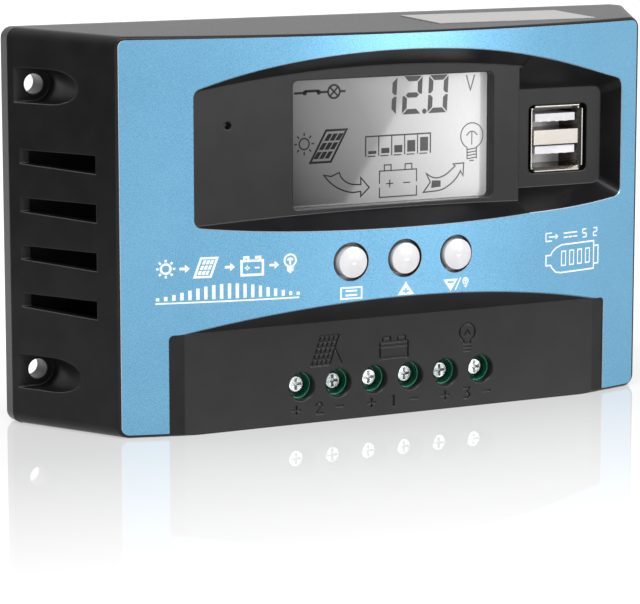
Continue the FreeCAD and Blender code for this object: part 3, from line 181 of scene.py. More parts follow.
def relief(tree, shader, height, depth, normal=None):
    """Bump from a height, with its depth in millimetres."""
    node = tree.nodes.new("ShaderNodeBump")
    node.inputs["Strength"].default_value = 1.0
    node.inputs["Distance"].default_value = depth*MM
    tree.links.new(height, node.inputs["Height"])
    if normal is not None:
        tree.links.new(normal, node.inputs["Normal"])
    tree.links.new(node.outputs["Normal"], shader.inputs["Normal"])


def moulded(name, dark, light, rough, grain, depth, edge=0.0, coat=0.0, mottle=6.0, shine=0.5):
    """Moulded plastic: a soft mottle of two shades, a fine grain and an uneven sheen."""
    material, tree, shader, coords = new_shader(name)
    shader.inputs["Specular IOR Level"].default_value = shine
    blotch = noise(tree, coords, (mottle, mottle, mottle))
    tree.links.new(mixed(tree, ranged(tree, blotch, (0.35, 0.65), (0.0, 1.0)), dark, light),
                   shader.inputs["Base Color"])
    sheen = noise(tree, coords, (2.2*grain, 2.2*grain, 2.2*grain))
    tree.links.new(ranged(tree, sheen, (0.3, 0.7), rough), shader.inputs["Roughness"])
    shader.inputs["Coat Weight"].default_value = coat
    shader.inputs["Coat Roughness"].default_value = 0.12
    normal = rounded_edges(tree, edge) if edge else None
    relief(tree, shader, noise(tree, coords, (grain, grain, grain)), depth, normal)
    return material


def metal(name, dark, light, rough, stretch, depth):
    """Plated or brushed metal with fine marks drawn out along one axis."""
    material, tree, shader, coords = new_shader(name)
    shader.inputs["Metallic"].default_value = 1.0
    marks = noise(tree, coords, stretch, 4.0)
    cloud = noise(tree, coords, (3.0, 3.0, 3.0))
    tree.links.new(mixed(tree, ranged(tree, cloud, (0.35, 0.65), (0.0, 1.0)), dark, light),
                   shader.inputs["Base Color"])
    tree.links.new(ranged(tree, marks, (0.3, 0.7), rough), shader.inputs["Roughness"])
    relief(tree, shader, marks, depth, rounded_edges(tree, 0.08))
    return material


# Materials of the outside -------------------------------------------------------------

def case_black():
    """Satin black moulding with a fine spark-eroded grain, and a painted highlight in pale grey along its
    edges that tilt upwards.
    """
    material, tree, shader, coords = new_shader("case_black")
    blotch = noise(tree, coords, (6.0, 6.0, 6.0))
    body = mixed(tree, ranged(tree, blotch, (0.35, 0.65), (0.0, 1.0)), (0.005, 0.005, 0.006),
                 (0.008, 0.008, 0.009))
    normal = rounded_edges(tree, 0.4)
    # painted highlight: where the softened normal tilts further upwards than the face, along edges lit from
    # above, a pale grey is mixed into the black
    lift = math_node(tree, "SUBTRACT", along(tree, normal, "Z"), facing(tree, "Z"))
    painted_light_mask = ranged(tree, lift, (0.12, 0.5), (0.0, 0.8))
    tree.links.new(mixed(tree, painted_light_mask, body, (0.16, 0.16, 0.165)), shader.inputs["Base Color"])
    tree.links.new(ranged(tree, noise(tree, coords, (0.35, 0.35, 0.35)), (0.3, 0.7), (0.30, 0.38)),
                   shader.inputs["Roughness"])
    shader.inputs["Specular IOR Level"].default_value = 0.27
    relief(tree, shader, noise(tree, coords, (0.16, 0.16, 0.16)), 0.0016, normal)
    return material


def cover_black():
    return moulded("cover_black", (0.010, 0.010, 0.011), (0.015, 0.015, 0.0165), (0.30, 0.38),
                   0.16, 0.0016, edge=0.4, shine=0.37)


def label_blue():
    """Light blue metallic film with a fine sparkle and a pale cut edge."""
    material, tree, shader, coords = new_shader("label_blue")
    flake = flakes(tree, coords, 0.11)
    cloud = noise(tree, coords, (14.0, 14.0, 14.0))
    film = mixed(tree, ranged(tree, cloud, (0.3, 0.7), (0.0, 1.0)), (0.120, 0.335, 0.520),
                 (0.135, 0.36, 0.550))
    film = mixed(tree, ranged(tree, flake, (0.55, 1.0), (0.0, 0.28)), film, (0.36, 0.62, 0.80))
    film = mixed(tree, ranged(tree, flake, (0.0, 0.4), (0.15, 0.0)), film, (0.07, 0.23, 0.40))
    edge = ranged(tree, facing(tree, "Y"), (-0.7, -0.3), (0.0, 1.0))
    tree.links.new(mixed(tree, edge, film, (0.72, 0.80, 0.86)), shader.inputs["Base Color"])
    tree.links.new(ranged(tree, edge, (0.0, 1.0), (0.72, 0.0)), shader.inputs["Metallic"])
    tree.links.new(ranged(tree, flake, (0.0, 1.0), (0.25, 0.38)), shader.inputs["Roughness"])
    shader.inputs["Coat Weight"].default_value = 0.25
    shader.inputs["Coat Roughness"].default_value = 0.2
    relief(tree, shader, flake, 0.0012)
    return material


def seal_silver():
    """Blank silver film with a faint woven hatch."""
    material, tree, shader, coords = new_shader("seal_silver")
    hatch = bands(tree, coords, (0.9, 0.9, 0.9), (0.0, 0.0, 40.0))
    cross = bands(tree, coords, (0.9, 0.9, 0.9), (0.0, 0.0, -50.0))
    film = mixed(tree, ranged(tree, hatch, (0.2, 0.8), (0.0, 0.5)), (0.34, 0.33, 0.32), (0.44, 0.43, 0.42))
    tree.links.new(mixed(tree, ranged(tree, cross, (0.2, 0.8), (0.0, 0.5)), film, (0.52, 0.51, 0.50)),
                   shader.inputs["Base Color"])
    tree.links.new(ranged(tree, hatch, (0.0, 1.0), (0.3, 0.42)), shader.inputs["Roughness"])
    shader.inputs["Metallic"].default_value = 0.25
    relief(tree, shader, noise(tree, coords, (1.5, 1.5, 1.5)), 0.01)
    return material


def button_white():
    return moulded("button_white", (0.56, 0.56, 0.575), (0.61, 0.61, 0.625), (0.2, 0.28), 0.5, 0.003,
                   edge=0.15, coat=0.6, mottle=2.5)


def terminal_green():
    """Glossy green terminal moulding with painted light: a painted highlight on its thin front edges,
    painted shade on the walls that turn away.
    """
    material, tree, shader, coords = new_shader("terminal_green")
    cloud = noise(tree, coords, (1.4, 1.4, 1.4))
    # painted shade: the darker green for walls that turn away from the front
    shaded_green = mixed(tree, ranged(tree, cloud, (0.35, 0.65), (0.0, 1.0)), (0.006, 0.09, 0.045),
                 (0.014, 0.15, 0.075))
    # painted highlight: faces that turn to the front take the lighter green
    painted_light_mask = ranged(tree, facing(tree, "Y"), (-0.9, -0.4), (1.0, 0.0))
    tree.links.new(mixed(tree, painted_light_mask, shaded_green, (0.06, 0.38, 0.22)), shader.inputs["Base Color"])
    tree.links.new(ranged(tree, cloud, (0.3, 0.7), (0.22, 0.34)), shader.inputs["Roughness"])
    shader.inputs["Coat Weight"].default_value = 0.5
    shader.inputs["Coat Roughness"].default_value = 0.1
    relief(tree, shader, noise(tree, coords, (0.3, 0.3, 0.3)), 0.004, rounded_edges(tree, 0.15))
    return material


def screw_steel():
    """Bright plated steel with turning and driver marks."""
    return metal("screw_steel", (0.30, 0.33, 0.33), (0.74, 0.77, 0.77), (0.14, 0.38), (0.3, 1.0, 0.2), 0.05)


def clamp_steel():
    return metal("clamp_steel", (0.50, 0.50, 0.49), (0.66, 0.66, 0.65), (0.25, 0.45),
                 (0.3, 1.5, 0.3), 0.006)


def socket_metal():
    """Warm bright nickel, with painted shade that darkens it down inside the socket."""
    material, tree, shader, coords = new_shader("socket_metal")
    shader.inputs["Metallic"].default_value = 1.0
    marks = noise(tree, coords, (0.12, 2.0, 0.12), 4.0)
    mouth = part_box("usb_divider")[0].y
    # painted shade: the nickel darkens from the mouth of the socket to 3.5 mm inside it
    depth = ranged(tree, along(tree, coords, "Y"), (mouth + 0.15*MM, mouth + 3.5*MM), (0.0, 1.0))
    bright = mixed(tree, ranged(tree, marks, (0.35, 0.65), (0.0, 1.0)), (0.34, 0.32, 0.29),
                   (0.42, 0.395, 0.36))
    tree.links.new(mixed(tree, depth, bright, (0.10, 0.085, 0.075)), shader.inputs["Base Color"])
    tree.links.new(ranged(tree, marks, (0.3, 0.7), (0.18, 0.32)), shader.inputs["Roughness"])
    relief(tree, shader, marks, 0.002, rounded_edges(tree, 0.08))
    return material


def socket_white():
    return moulded("socket_white", (0.70, 0.69, 0.73), (0.77, 0.76, 0.80), (0.28, 0.4), 0.3, 0.003,
                   edge=0.12, coat=0.3, mottle=2.0)


def contact_gold():
    return metal("contact_gold", (0.72, 0.50, 0.20), (0.90, 0.68, 0.32), (0.15, 0.3),
                 (0.1, 1.0, 0.1), 0.001)


def painted_glare_ramp(tree, coords):
    """Painted reflection gradient: nought at the lower left corner of the display and one at its upper
    right corner.
    """
    low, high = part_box("display_glass")
    across = ranged(tree, along(tree, coords, "X"), (low.x, high.x), (0.0, 0.78))
    up = ranged(tree, along(tree, coords, "Z"), (low.z, high.z), (0.0, 0.22))
    return math_node(tree, "ADD", across, up)


def display_face():
    """Liquid crystal panel: a silvery reflector with a fine row pattern, and a painted reflection that dims
    it to the lower left and lightens it to the upper right.
    """
    material, tree, shader, coords = new_shader("display_face")
    rows = bands(tree, coords, (0.3, 0.3, 0.3), (0.0, 90.0, 0.0))
    grain = noise(tree, coords, (0.12, 0.12, 0.12))
    glare_ramp = painted_glare_ramp(tree, coords)
    # painted reflection: the panel's colour runs from near black at the lower left to near white at the
    # upper right
    silver = mixed(tree, ranged(tree, glare_ramp, (0.0, 0.5), (0.0, 1.0)), (0.05, 0.05, 0.052),
                   (0.44, 0.44, 0.44))
    silver = mixed(tree, ranged(tree, glare_ramp, (0.45, 1.0), (0.0, 1.0)), silver, (0.94, 0.94, 0.94))
    silver = mixed(tree, ranged(tree, grain, (0.3, 0.7), (0.0, 0.16)), silver, (0.2, 0.2, 0.21))
    tree.links.new(mixed(tree, ranged(tree, rows, (0.4, 1.0), (0.0, 0.05)), silver, (0.2, 0.2, 0.22)),
                   shader.inputs["Base Color"])
    tree.links.new(ranged(tree, grain, (0.3, 0.7), (0.03, 0.05)), shader.inputs["Roughness"])
    # painted reflection: the metallic share falls towards the upper right along the same gradient
    tree.links.new(ranged(tree, glare_ramp, (0.5, 0.85), (0.5, 0.12)), shader.inputs["Metallic"])
    return material


def display_ink():
    """Dark liquid crystal segments, fainter towards the upper right where a painted reflection washes them
    out.
    """
    material, tree, shader, coords = new_shader("display_ink")
    grain = noise(tree, coords, (0.1, 0.1, 0.1))
    glare_ramp = ranged(tree, painted_glare_ramp(tree, coords), (0.3, 1.0), (0.0, 1.0))
    # painted reflection: the segments pale towards the upper right along the display's glare gradient
    ink = mixed(tree, glare_ramp, (0.002, 0.002, 0.0025), (0.2, 0.2, 0.205))
    tree.links.new(mixed(tree, ranged(tree, grain, (0.4, 0.8), (0.0, 0.15)), ink, (0.05, 0.05, 0.05)),
                   shader.inputs["Base Color"])
    tree.links.new(ranged(tree, grain, (0.3, 0.7), (0.4, 0.5)), shader.inputs["Roughness"])
    shader.inputs["Specular IOR Level"].default_value = 0.15
    return material


def label_print():
    """White screen print with a slightly uneven ink film."""
    return moulded("label_print", (0.74, 0.79, 0.87), (0.82, 0.87, 0.93), (0.35, 0.5), 0.2, 0.002,
                   mottle=1.5, shine=0.3)


def lamp_clear():
    return moulded("lamp_clear", (0.42, 0.44, 0.42), (0.55, 0.58, 0.55), (0.1, 0.2), 0.4, 0.002, coat=0.8)


# Materials of the inside --------------------------------------------------------------

def frame_black():
    return moulded("frame_black", (0.008, 0.008, 0.009), (0.013, 0.013, 0.014), (0.45, 0.6), 0.2, 0.004,
                   edge=0.1)


def header_black():
    return moulded("header_black", (0.010, 0.010, 0.011), (0.018, 0.018, 0.019), (0.4, 0.55), 0.25, 0.004)


def switch_body():
    return moulded("switch_body", (0.020, 0.020, 0.021), (0.035, 0.035, 0.036), (0.4, 0.55), 0.3, 0.004)


def plunger_plastic():
    return moulded("plunger_plastic", (0.018, 0.018, 0.018), (0.03, 0.03, 0.03), (0.3, 0.42), 0.3, 0.003)


def chip_black():
    return moulded("chip_black", (0.012, 0.012, 0.013), (0.024, 0.024, 0.025), (0.5, 0.65), 0.12, 0.005)


def transistor_black():
    return moulded("transistor_black", (0.015, 0.015, 0.016), (0.03, 0.03, 0.031), (0.45, 0.6), 0.15, 0.005)


def backlight_white():
    return moulded("backlight_white", (0.82, 0.83, 0.84), (0.9, 0.9, 0.91), (0.25, 0.35), 0.6, 0.003)


def ferrite():
    return moulded("ferrite", (0.03, 0.03, 0.032), (0.06, 0.06, 0.062), (0.55, 0.7), 0.3, 0.012)


def pad_grey():
    return moulded("pad_grey", (0.40, 0.40, 0.42), (0.52, 0.52, 0.54), (0.6, 0.75), 0.4, 0.01)


def fuse_body():
    return moulded("fuse_body", (0.05, 0.36, 0.14), (0.09, 0.48, 0.20), (0.12, 0.2), 0.5, 0.003, coat=0.5)


def capacitor_sleeve():
    """Dark shrink sleeve with a pale stripe down one side."""
    material, tree, shader, coords = new_shader("capacitor_sleeve")
    cloud = noise(tree, coords, (2.0, 2.0, 2.0))
    sleeve = mixed(tree, cloud, (0.012, 0.014, 0.04), (0.03, 0.035, 0.075))
    stripe = ranged(tree, facing(tree, "X"), (0.93, 0.95), (0.0, 1.0))
    tree.links.new(mixed(tree, stripe, sleeve, (0.6, 0.62, 0.66)), shader.inputs["Base Color"])
    tree.links.new(ranged(tree, cloud, (0.3, 0.7), (0.18, 0.3)), shader.inputs["Roughness"])
    relief(tree, shader, cloud, 0.03)
    return material


def board_green():
    """Solder mask over rows of copper tracks."""
    material, tree, shader, coords = new_shader("board_green")
    tracks = bands(tree, coords, (1.6, 1.6, 1.6), (0.0, 0.0, 0.0), 2.5)
    mask = mixed(tree, ranged(tree, tracks, (0.45, 0.55), (0.0, 1.0)), (0.012, 0.13, 0.05),
                 (0.03, 0.24, 0.10))
    tree.links.new(mask, shader.inputs["Base Color"])
    tree.links.new(ranged(tree, noise(tree, coords, (1.0, 1.0, 1.0)), (0.3, 0.7), (0.2, 0.32)),
                   shader.inputs["Roughness"])
    relief(tree, shader, tracks, 0.03)
    return material


def copper_wire():
    """Enamelled wire wound in rings."""
    material, tree, shader, coords = new_shader("copper_wire")
    turns = bands(tree, coords, (0.8, 0.8, 0.8), (0.0, 0.0, 90.0))
    # painted shade and highlight: the copper is dark in the grooves between turns and bright on their
    # crests, following the bands of the bump
    tree.links.new(mixed(tree, turns, (0.24, 0.08, 0.03), (0.72, 0.34, 0.16)), shader.inputs["Base Color"])
    tree.links.new(ranged(tree, turns, (0.0, 1.0), (0.4, 0.22)), shader.inputs["Roughness"])
    shader.inputs["Metallic"].default_value = 0.8
    relief(tree, shader, turns, 0.2)
    return material


def plated_pins():
    return metal("plated_pins", (0.62, 0.62, 0.60), (0.78, 0.78, 0.76), (0.2, 0.35), (0.2, 1.0, 0.2), 0.002)


def spreader_metal():
    return metal("spreader_metal", (0.66, 0.66, 0.68), (0.80, 0.80, 0.82), (0.28, 0.45),
                 (6.0, 0.3, 0.15), 0.004)


MATERIALS = (
    case_black, cover_black, label_blue, seal_silver, button_white, terminal_green, screw_steel,
    clamp_steel, socket_metal, socket_white, contact_gold, display_face, lamp_clear, frame_black,
    header_black, switch_body, plunger_plastic, chip_black, transistor_black, backlight_white, ferrite,
    pad_grey, fuse_body, capacitor_sleeve, board_green, copper_wire, plated_pins, spreader_metal,
)


def paint_nodes():
    """Give every CAD node the material of its slot in the record."""
    made = {maker.__name__: maker() for maker in MATERIALS}
    for row in frame["record"]["subparts"]:
        mesh = frame["nodes"][row["node"]].data
        mesh.materials.clear()
        mesh.materials.append(made[row["material_slot"]])


# Flat shapes for the printed layers, in millimetres -----------------------------------

LINE_STEP = 1.5


def refined(points, step, closed=False):
    """The same line with a point at least every step."""
    ends = list(points) + [points[0]] if closed else list(points)
    fine = []
    for start, end in zip(ends, ends[1:]):
        count = max(1, math.ceil(math.dist(start, end)/step))
        for number in range(count):
            share = number/count
            fine.append((start[0] + (end[0] - start[0])*share, start[1] + (end[1] - start[1])*share))
    return fine if closed else fine + [ends[-1]]


def smooth(points):
    """A Catmull-Rom curve through points, with five steps between each pair."""
    steps = 5
    path = [Vector(point) for point in points]
    path = [2*path[0] - path[1]] + path + [2*path[-1] - path[-2]]
    fine = []
    for before, start, end, after in zip(path, path[1:], path[2:], path[3:]):
        for number in range(steps):
            t = number/steps
            spot = (2*start + (end - before)*t + (2*before - 5*start + 4*end - after)*t*t
                    + (3*start - before - 3*end + after)*t*t*t)/2
            fine.append(tuple(spot))
    return fine + [tuple(path[-2])]


def line(points, width, closed=False):
    """Cells along a line of a width, mitred at its corners and short enough to follow a bent face."""
    path = [Vector(point) for point in refined(points, LINE_STEP, closed)]
    count = len(path)
    sides = []
    for number, spot in enumerate(path):
        before = path[number - 1] if number or closed else None
        after = path[(number + 1) % count] if number + 1 < count or closed else None
        inward = (spot - before).normalized() if before else (after - spot).normalized()
        onward = (after - spot).normalized() if after else inward
        middle = inward + onward
        middle = middle.normalized() if middle.length > 0.2 else onward
        reach = width/2/max(0.4, middle.dot(onward))
        across = Vector((-middle.y, middle.x))*reach
        sides.append((tuple(spot + across), tuple(spot - across)))
    pairs = list(zip(sides, sides[1:] + sides[:1]))
    return [[start[0], start[1], end[1], end[0]] for start, end in (pairs if closed else pairs[:-1])]


def arc(middle, radius, start, end, count=28):
    """Points round an arc, angles in degrees."""
    angles = [math.radians(start + (end - start)*number/count) for number in range(count + 1)]
    return [(middle[0] + radius*math.cos(angle), middle[1] + radius*math.sin(angle)) for angle in angles]


def ring(middle, radius, width):
    return line(arc(middle, radius, 0, 360)[:-1], width, closed=True)


def disc(middle, radius):
    return [arc(middle, radius, 0, 360, 20)[:-1]]


def bar(left, bottom, right, top):
    return [[(left, bottom), (right, bottom), (right, top), (left, top)]]


def frame_line(left, bottom, right, top, width):
    return line([(left, bottom), (right, bottom), (right, top), (left, top)], width, closed=True)


def moved(cells, across, up, lean=0.0):
    """The same cells at another place, leaning to the right as they rise."""
    return [[(across + (x + lean*z), up + z) for x, z in cell] for cell in cells]


def sun(radius, width):
    """A ring with eight rays."""
    rays = 8
    cells = ring((0, 0), radius, width)
    for number in range(rays):
        angle = math.tau*number/rays
        spoke = (math.cos(angle), math.sin(angle))
        ends = [(spoke[0]*radius*reach, spoke[1]*radius*reach) for reach in (1.45, 2.0)]
        cells += line(ends, width)
    return cells


def solar_panel(width, height, lean, border):
    """A leaning frame filled with three rows of three cells, from its lower left corner."""
    columns, rows = 3, 3
    cells = line([(0, 0), (width, 0), (width + lean, height), (lean, height)], border, closed=True)
    gap = 0.22

    def spot(across, up):
        return (border + (width - 2*border)*across + lean*up, height*(0.08 + 0.84*up))

    for column in range(columns):
        for row in range(rows):
            left, right = (column + gap/2)/columns, (column + 1 - gap/2)/columns
            low, high = (row + gap/2)/rows, (row + 1 - gap/2)/rows
            cells.append([spot(left, low), spot(right, low), spot(right, high), spot(left, high)])
    return cells


def battery(width, height, post, stroke, gap=0.0):
    """A battery case with two posts, from its lower left corner, and its side lines cut by a gap."""
    middle = height*0.45
    cells = line([(0, middle - gap/2), (0, 0), (width, 0), (width, middle - gap/2)], stroke)
    cells += line([(0, middle + gap/2), (0, height), (width, height), (width, middle + gap/2)], stroke)
    top = height + post
    for left in (0.13*width, 0.69*width):
        right = left + 0.18*width
        cells += line([(left, height), (left, top), (right, top), (right, height)], stroke)
    return cells


def plus_sign(middle, size, stroke):
    (x, z), half = middle, size/2
    return line([(x - half, z), (x + half, z)], stroke) + line([(x, z - half), (x, z + half)], stroke)


def minus_sign(middle, size, stroke):
    return line([(middle[0] - size/2, middle[1]), (middle[0] + size/2, middle[1])], stroke)


def bulb(radius, stroke):
    """A light bulb round its middle, with a filament and a screw cap."""
    neck, top, bottom = 0.42*radius, -1.08*radius, -1.8*radius
    cells = line([(neck, top)] + arc((0, 0), radius, -64, 244) + [(-neck, top)], stroke)
    cells += line([(0, -0.72*radius), (0, 0.28*radius)], stroke)
    cells += line([(-0.5*radius, 0.02*radius)] + arc((0, -0.08*radius), 0.42*radius, 30, 150, 10)[::-1]
                  + [(0.5*radius, 0.02*radius)], stroke)
    for side in (neck, -neck):
        cells += line([(side, top), (side, bottom)], stroke)
    for share in (0.0, 0.33, 0.66, 1.0):
        up = top + (bottom - top)*share
        cells += line([(-neck, up), (neck, up + 0.1*radius)], stroke)
    return cells + line([(-0.2*radius, -1.95*radius), (0.2*radius, -1.95*radius)], stroke)


def arrow(length, height, stroke):
    """A straight arrow to the right from the middle of its tail."""
    head = 0.55*height
    barb = length - head - 0.1*height
    shaft = line([(0, 0), (length - head, 0)], stroke)
    return shaft + [[(barb, -head), (length, 0), (barb, head)]]


SEGMENTS = {0: "abcdef", 1: "bc", 2: "abged", 5: "afgcd"}


def numeral(digit, width, height, stroke, gap):
    """A seven-segment numeral from its lower left corner, with mitred segments."""
    middle, half = height/2, stroke/2
    upper = [(width, height - gap), (width, middle + gap), (width - half, middle + gap),
             (width - stroke, middle + half + gap), (width - stroke, height - stroke - gap)]
    near, far = stroke + gap, width - stroke - gap
    top = [(gap, height), (width - gap, height), (far, height - stroke), (near, height - stroke)]
    bridge = [(half + gap, middle), (near, middle + half), (far, middle + half),
              (width - half - gap, middle), (far, middle - half), (near, middle - half)]

    def mirrored(points, across=False, up=False):
        return [(width - x if across else x, height - z if up else z) for x, z in points]

    shapes = {
        "a": top, "b": upper, "c": mirrored(upper, up=True), "d": mirrored(top, up=True),
        "e": mirrored(upper, True, True), "f": mirrored(upper, True), "g": bridge,
    }
    return [shapes[name] for name in SEGMENTS[digit]]


# Display artwork ----------------------------------------------------------------------

def switch_symbol():
    """Closed switch in line with a lamp, drawn from its left end."""
    cells = line([(0, 0), (2.4, 0)], 0.5) + disc((2.7, 0), 0.55)
    cells += line([(2.7, 0.35), (6.3, 0.35)], 0.6) + disc((6.3, 0), 0.55)
    cells += line([(6.6, 0), (8.6, 0)], 0.5) + ring((10.2, 0), 1.5, 0.45)
    cells += line([(9.15, -1.05), (11.25, 1.05)], 0.4) + line([(9.15, 1.05), (11.25, -1.05)], 0.4)
    return cells + line([(11.8, 0), (13.2, 0)], 0.5)


def level_gauge(width, height):
    """Five boxes that fill up from left to right, over a dashed base."""
    shares = (0.17, 0.30, 0.42, 0.66, 0.80)
    pitch = width/len(shares)
    cells = line([(0, 0), (0, height), (width, height), (width, 0)], 0.34)
    for number, share in enumerate(shares):
        left = number*pitch
        if number:
            cells += line([(left, 0), (left, height)], 0.28)
        cells += line([(left + 0.15*pitch, 0), (left + 0.75*pitch, 0)], 0.26)
        cells += bar(left + 0.2*pitch, 0.12*height, left + 0.82*pitch, (0.12 + share*0.88)*height)
    return cells


def charge_arrow():
    """Outlined arrow that swings down from the panel to the battery."""
    inner = smooth([(-12.85, -7.6), (-12.3, -8.75), (-11.1, -9.85), (-9.5, -10.5), (-7.2, -10.7)])
    outer = smooth([(-7.2, -12.3), (-9.7, -12.35), (-12.5, -11.5), (-15.0, -9.95), (-16.84, -8.0)])
    head = [(-7.2, -9.1), (-5.0, -11.5), (-7.2, -13.4)]
    tail = [(-14.9, -8.4)]
    return line(inner + head + outer + tail, 0.3, closed=True)


def load_arrow():
    """Outlined arrow that swings up from the battery to the lamp, with one filled block."""
    inner = smooth([(10.05, -9.1), (11.5, -10.0), (13.3, -10.3), (15.4, -9.6), (17.85, -7.8)])
    outer = smooth([(19.3, -9.0), (18.2, -10.6), (16.4, -12.1), (13.9, -13.2), (9.34, -13.5)])
    head = [(17.3, -7.3), (20.16, -7.2), (19.98, -10.2)]
    cells = line(inner + head + outer + [(11.2, -11.2)], 0.3, closed=True)
    return cells + [[(11.65, -10.85), (13.95, -10.95), (13.95, -12.4), (11.4, -12.6)]]


def display_artwork():
    """Everything that the display shows, measured from the middle of its window."""
    cells = moved(switch_symbol(), -24.4, 11.0)
    for digit, across, width in ((1, -3.1, 5.0), (2, 3.5, 5.1), (0, 10.3, 5.2)):
        cells += moved(numeral(digit, width, 8.8, 1.2, 0.2), across, 4.9, lean=0.05)
    cells += disc((9.5, 5.4), 0.6)
    cells += line([(20.7, 13.3), (21.8, 9.75), (22.9, 13.3)], 0.3)
    cells += moved(sun(1.27, 0.32), -21.85, -0.6)
    cells += moved(solar_panel(5.3, 7.2, 4.1, 0.5), -20.3, -5.0)
    cells += moved(level_gauge(17.1, 4.6), -5.95, -4.35)
    cells += moved(bulb(3.0, 0.26), 22.3, -0.9)
    cells += moved(battery(9.8, 6.1, 1.35, 0.27, gap=0.9), -2.3, -14.0)
    cells += plus_sign((0.4, -10.9), 1.8, 0.27) + minus_sign((4.9, -10.9), 1.8, 0.27)
    return moved(cells + charge_arrow() + load_arrow(), 0.0, 0.5)


# Label artwork ------------------------------------------------------------------------

def title_strip():
    """Row of energy pictograms, sun to panel to battery to lamp, over a chart of a day's power."""
    cells = moved(sun(1.05, 0.5), -58.2, 38.2)
    cells += moved(solar_panel(3.6, 4.2, 1.5, 0.5), -51.9, 36.1)
    cells += moved(battery(4.9, 3.2, 0.8, 0.55), -41.3, 36.1)
    cells += plus_sign((-40.0, 37.7), 1.1, 0.35) + minus_sign((-37.7, 37.7), 1.1, 0.35)
    cells += moved(bulb(1.35, 0.42), -30.0, 38.95)
    for across in (-55.2, -45.1, -34.9):
        cells += moved(arrow(2.3, 1.7, 0.6), across, 38.1)
    bars = 19
    for number in range(bars):
        share = number/(bars - 1)
        height = 0.7 + 2.7*math.sin(math.pi*share)**1.4
        left = -60.4 + 31.9*share
        cells += bar(left, 31.0, left + 0.75, 31.0 + height)
    return cells + line([(-60.5, 30.42), (-27.9, 30.42)], 0.35)


def menu_icon():
    """Framed list."""
    cells = frame_line(-17.75, 29.35, -12.6, 31.85, 0.4)
    for up in (30.1, 31.1):
        cells += line([(-16.6, up), (-13.7, up)], 0.42)
    return cells


def raise_icon():
    """Solid triangle pointing up, with its plus left open."""
    return [
        [(-3.45, 29.25), (-1.5, 29.25), (-1.5, 29.9), (-2.1, 29.9), (-2.1, 30.3), (-1.5, 30.3),
         (-1.5, 31.9)],
        [(0.9, 29.25), (-1.05, 29.25), (-1.05, 29.9), (-0.45, 29.9), (-0.45, 30.3), (-1.05, 30.3),
         (-1.05, 31.9)],
        [(-1.5, 29.25), (-1.05, 29.25), (-1.05, 29.55), (-1.5, 29.55)],
        [(-1.5, 30.75), (-1.05, 30.75), (-1.05, 32.1), (-1.28, 32.3), (-1.5, 32.1)],
    ]


def lower_icon():
    """Solid triangle pointing down with its minus left open, a stroke, and a small lamp."""
    cells = [
        [(8.75, 31.95), (12.7, 31.95), (12.35, 31.45), (9.1, 31.45)],
        [(9.1, 31.45), (9.9, 31.45), (9.9, 31.0), (9.4, 31.0)],
        [(11.55, 31.45), (12.35, 31.45), (12.05, 31.0), (11.55, 31.0)],
        [(9.4, 31.0), (12.05, 31.0), (10.72, 29.1)],
    ]
    cells += line([(12.0, 29.3), (13.5, 32.1)], 0.35)
    return cells + moved(bulb(0.72, 0.3), 14.85, 31.2)


def output_symbols():
    """Arrow out of a box, direct current sign and two ratings as plain numerals."""
    cells = line([(40.3, 38.4), (38.4, 38.4), (38.4, 40.3), (40.3, 40.3)], 0.3)
    cells += moved(arrow(2.9, 1.3, 0.3), 39.4, 39.35)
    cells += line([(44.0, 39.9), (48.4, 39.9)], 0.34)
    for number in range(3):
        left = 44.0 + 1.55*number
        cells += line([(left, 38.9), (left + 1.3, 38.9)], 0.34)
    cells += moved(numeral(5, 1.5, 2.2, 0.34, 0.02), 50.0, 38.25)
    return cells + moved(numeral(2, 1.5, 2.2, 0.34, 0.02), 53.6, 38.25)


def plug_symbol():
    """Outline of a flat plug lying to the left, with four contacts in it."""
    nose = [(40.0, 35.0), (38.5, 35.0), (38.5, 32.6), (40.0, 32.6)]
    body = [(40.4, 31.9), (41.6, 30.8), (43.2, 30.55), (53.9, 30.55), (53.9, 37.2), (43.4, 37.2),
            (41.6, 36.6), (40.4, 35.7)]
    cells = line(nose + body, 0.36, closed=True)
    cells += line([(53.9, 36.0), (55.4, 36.0), (55.4, 31.7), (53.9, 31.7)], 0.36)
    for number in range(4):
        left = 43.4 + 2.6*number
        cells += frame_line(left, 32.2, left + 1.3, 35.6, 0.3)
    return cells


def label_artwork():
    return title_strip() + menu_icon() + raise_icon() + lower_icon() + output_symbols() + plug_symbol()


# Printed layers -----------------------------------------------------------------------

PRINT_BACK = 0.006*MM
PRINT_FRONT = 0.024*MM


def front_of(node):
    """A function that gives the depth of a CAD node's front face over a point (x, z)."""
    mesh = frame["nodes"][node].data
    tree = BVHTree.FromPolygons([corner.co for corner in mesh.vertices],
                                [tuple(face.vertices) for face in mesh.polygons])

    def depth(across, up):
        return tree.ray_cast(Vector((across, cad_low.y - 0.1, up)), Vector((0, 1, 0)))[0].y

    return depth


def printed(name, cells, node, material, middle=(0.0, 0.0)):
    """A thin raised layer on a CAD node's front face, which rides on the node's body."""
    depth = front_of(node)
    form = bmesh.new()
    for cell in cells:
        spots = [(middle[0] + across*MM, middle[1] + up*MM) for across, up in cell]
        faces = [(across, depth(across, up), up) for across, up in spots]
        front = [form.verts.new((x, y - PRINT_FRONT, z)) for x, y, z in faces]
        back = [form.verts.new((x, y - PRINT_BACK, z)) for x, y, z in faces]
        form.faces.new(front)
        form.faces.new(back[::-1])
        for number in range(len(front)):
            following = (number + 1) % len(front)
            form.faces.new([front[following], front[number], back[number], back[following]])
    bmesh.ops.recalc_face_normals(form, faces=form.faces)
    mesh = bpy.data.meshes.new(name)
    form.to_mesh(mesh)
    form.free()
    piece = bpy.data.objects.new(name, mesh)
    bpy.context.scene.collection.objects.link(piece)
    mesh.materials.append(material)
    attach(piece, frame["nodes"][node]["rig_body"])


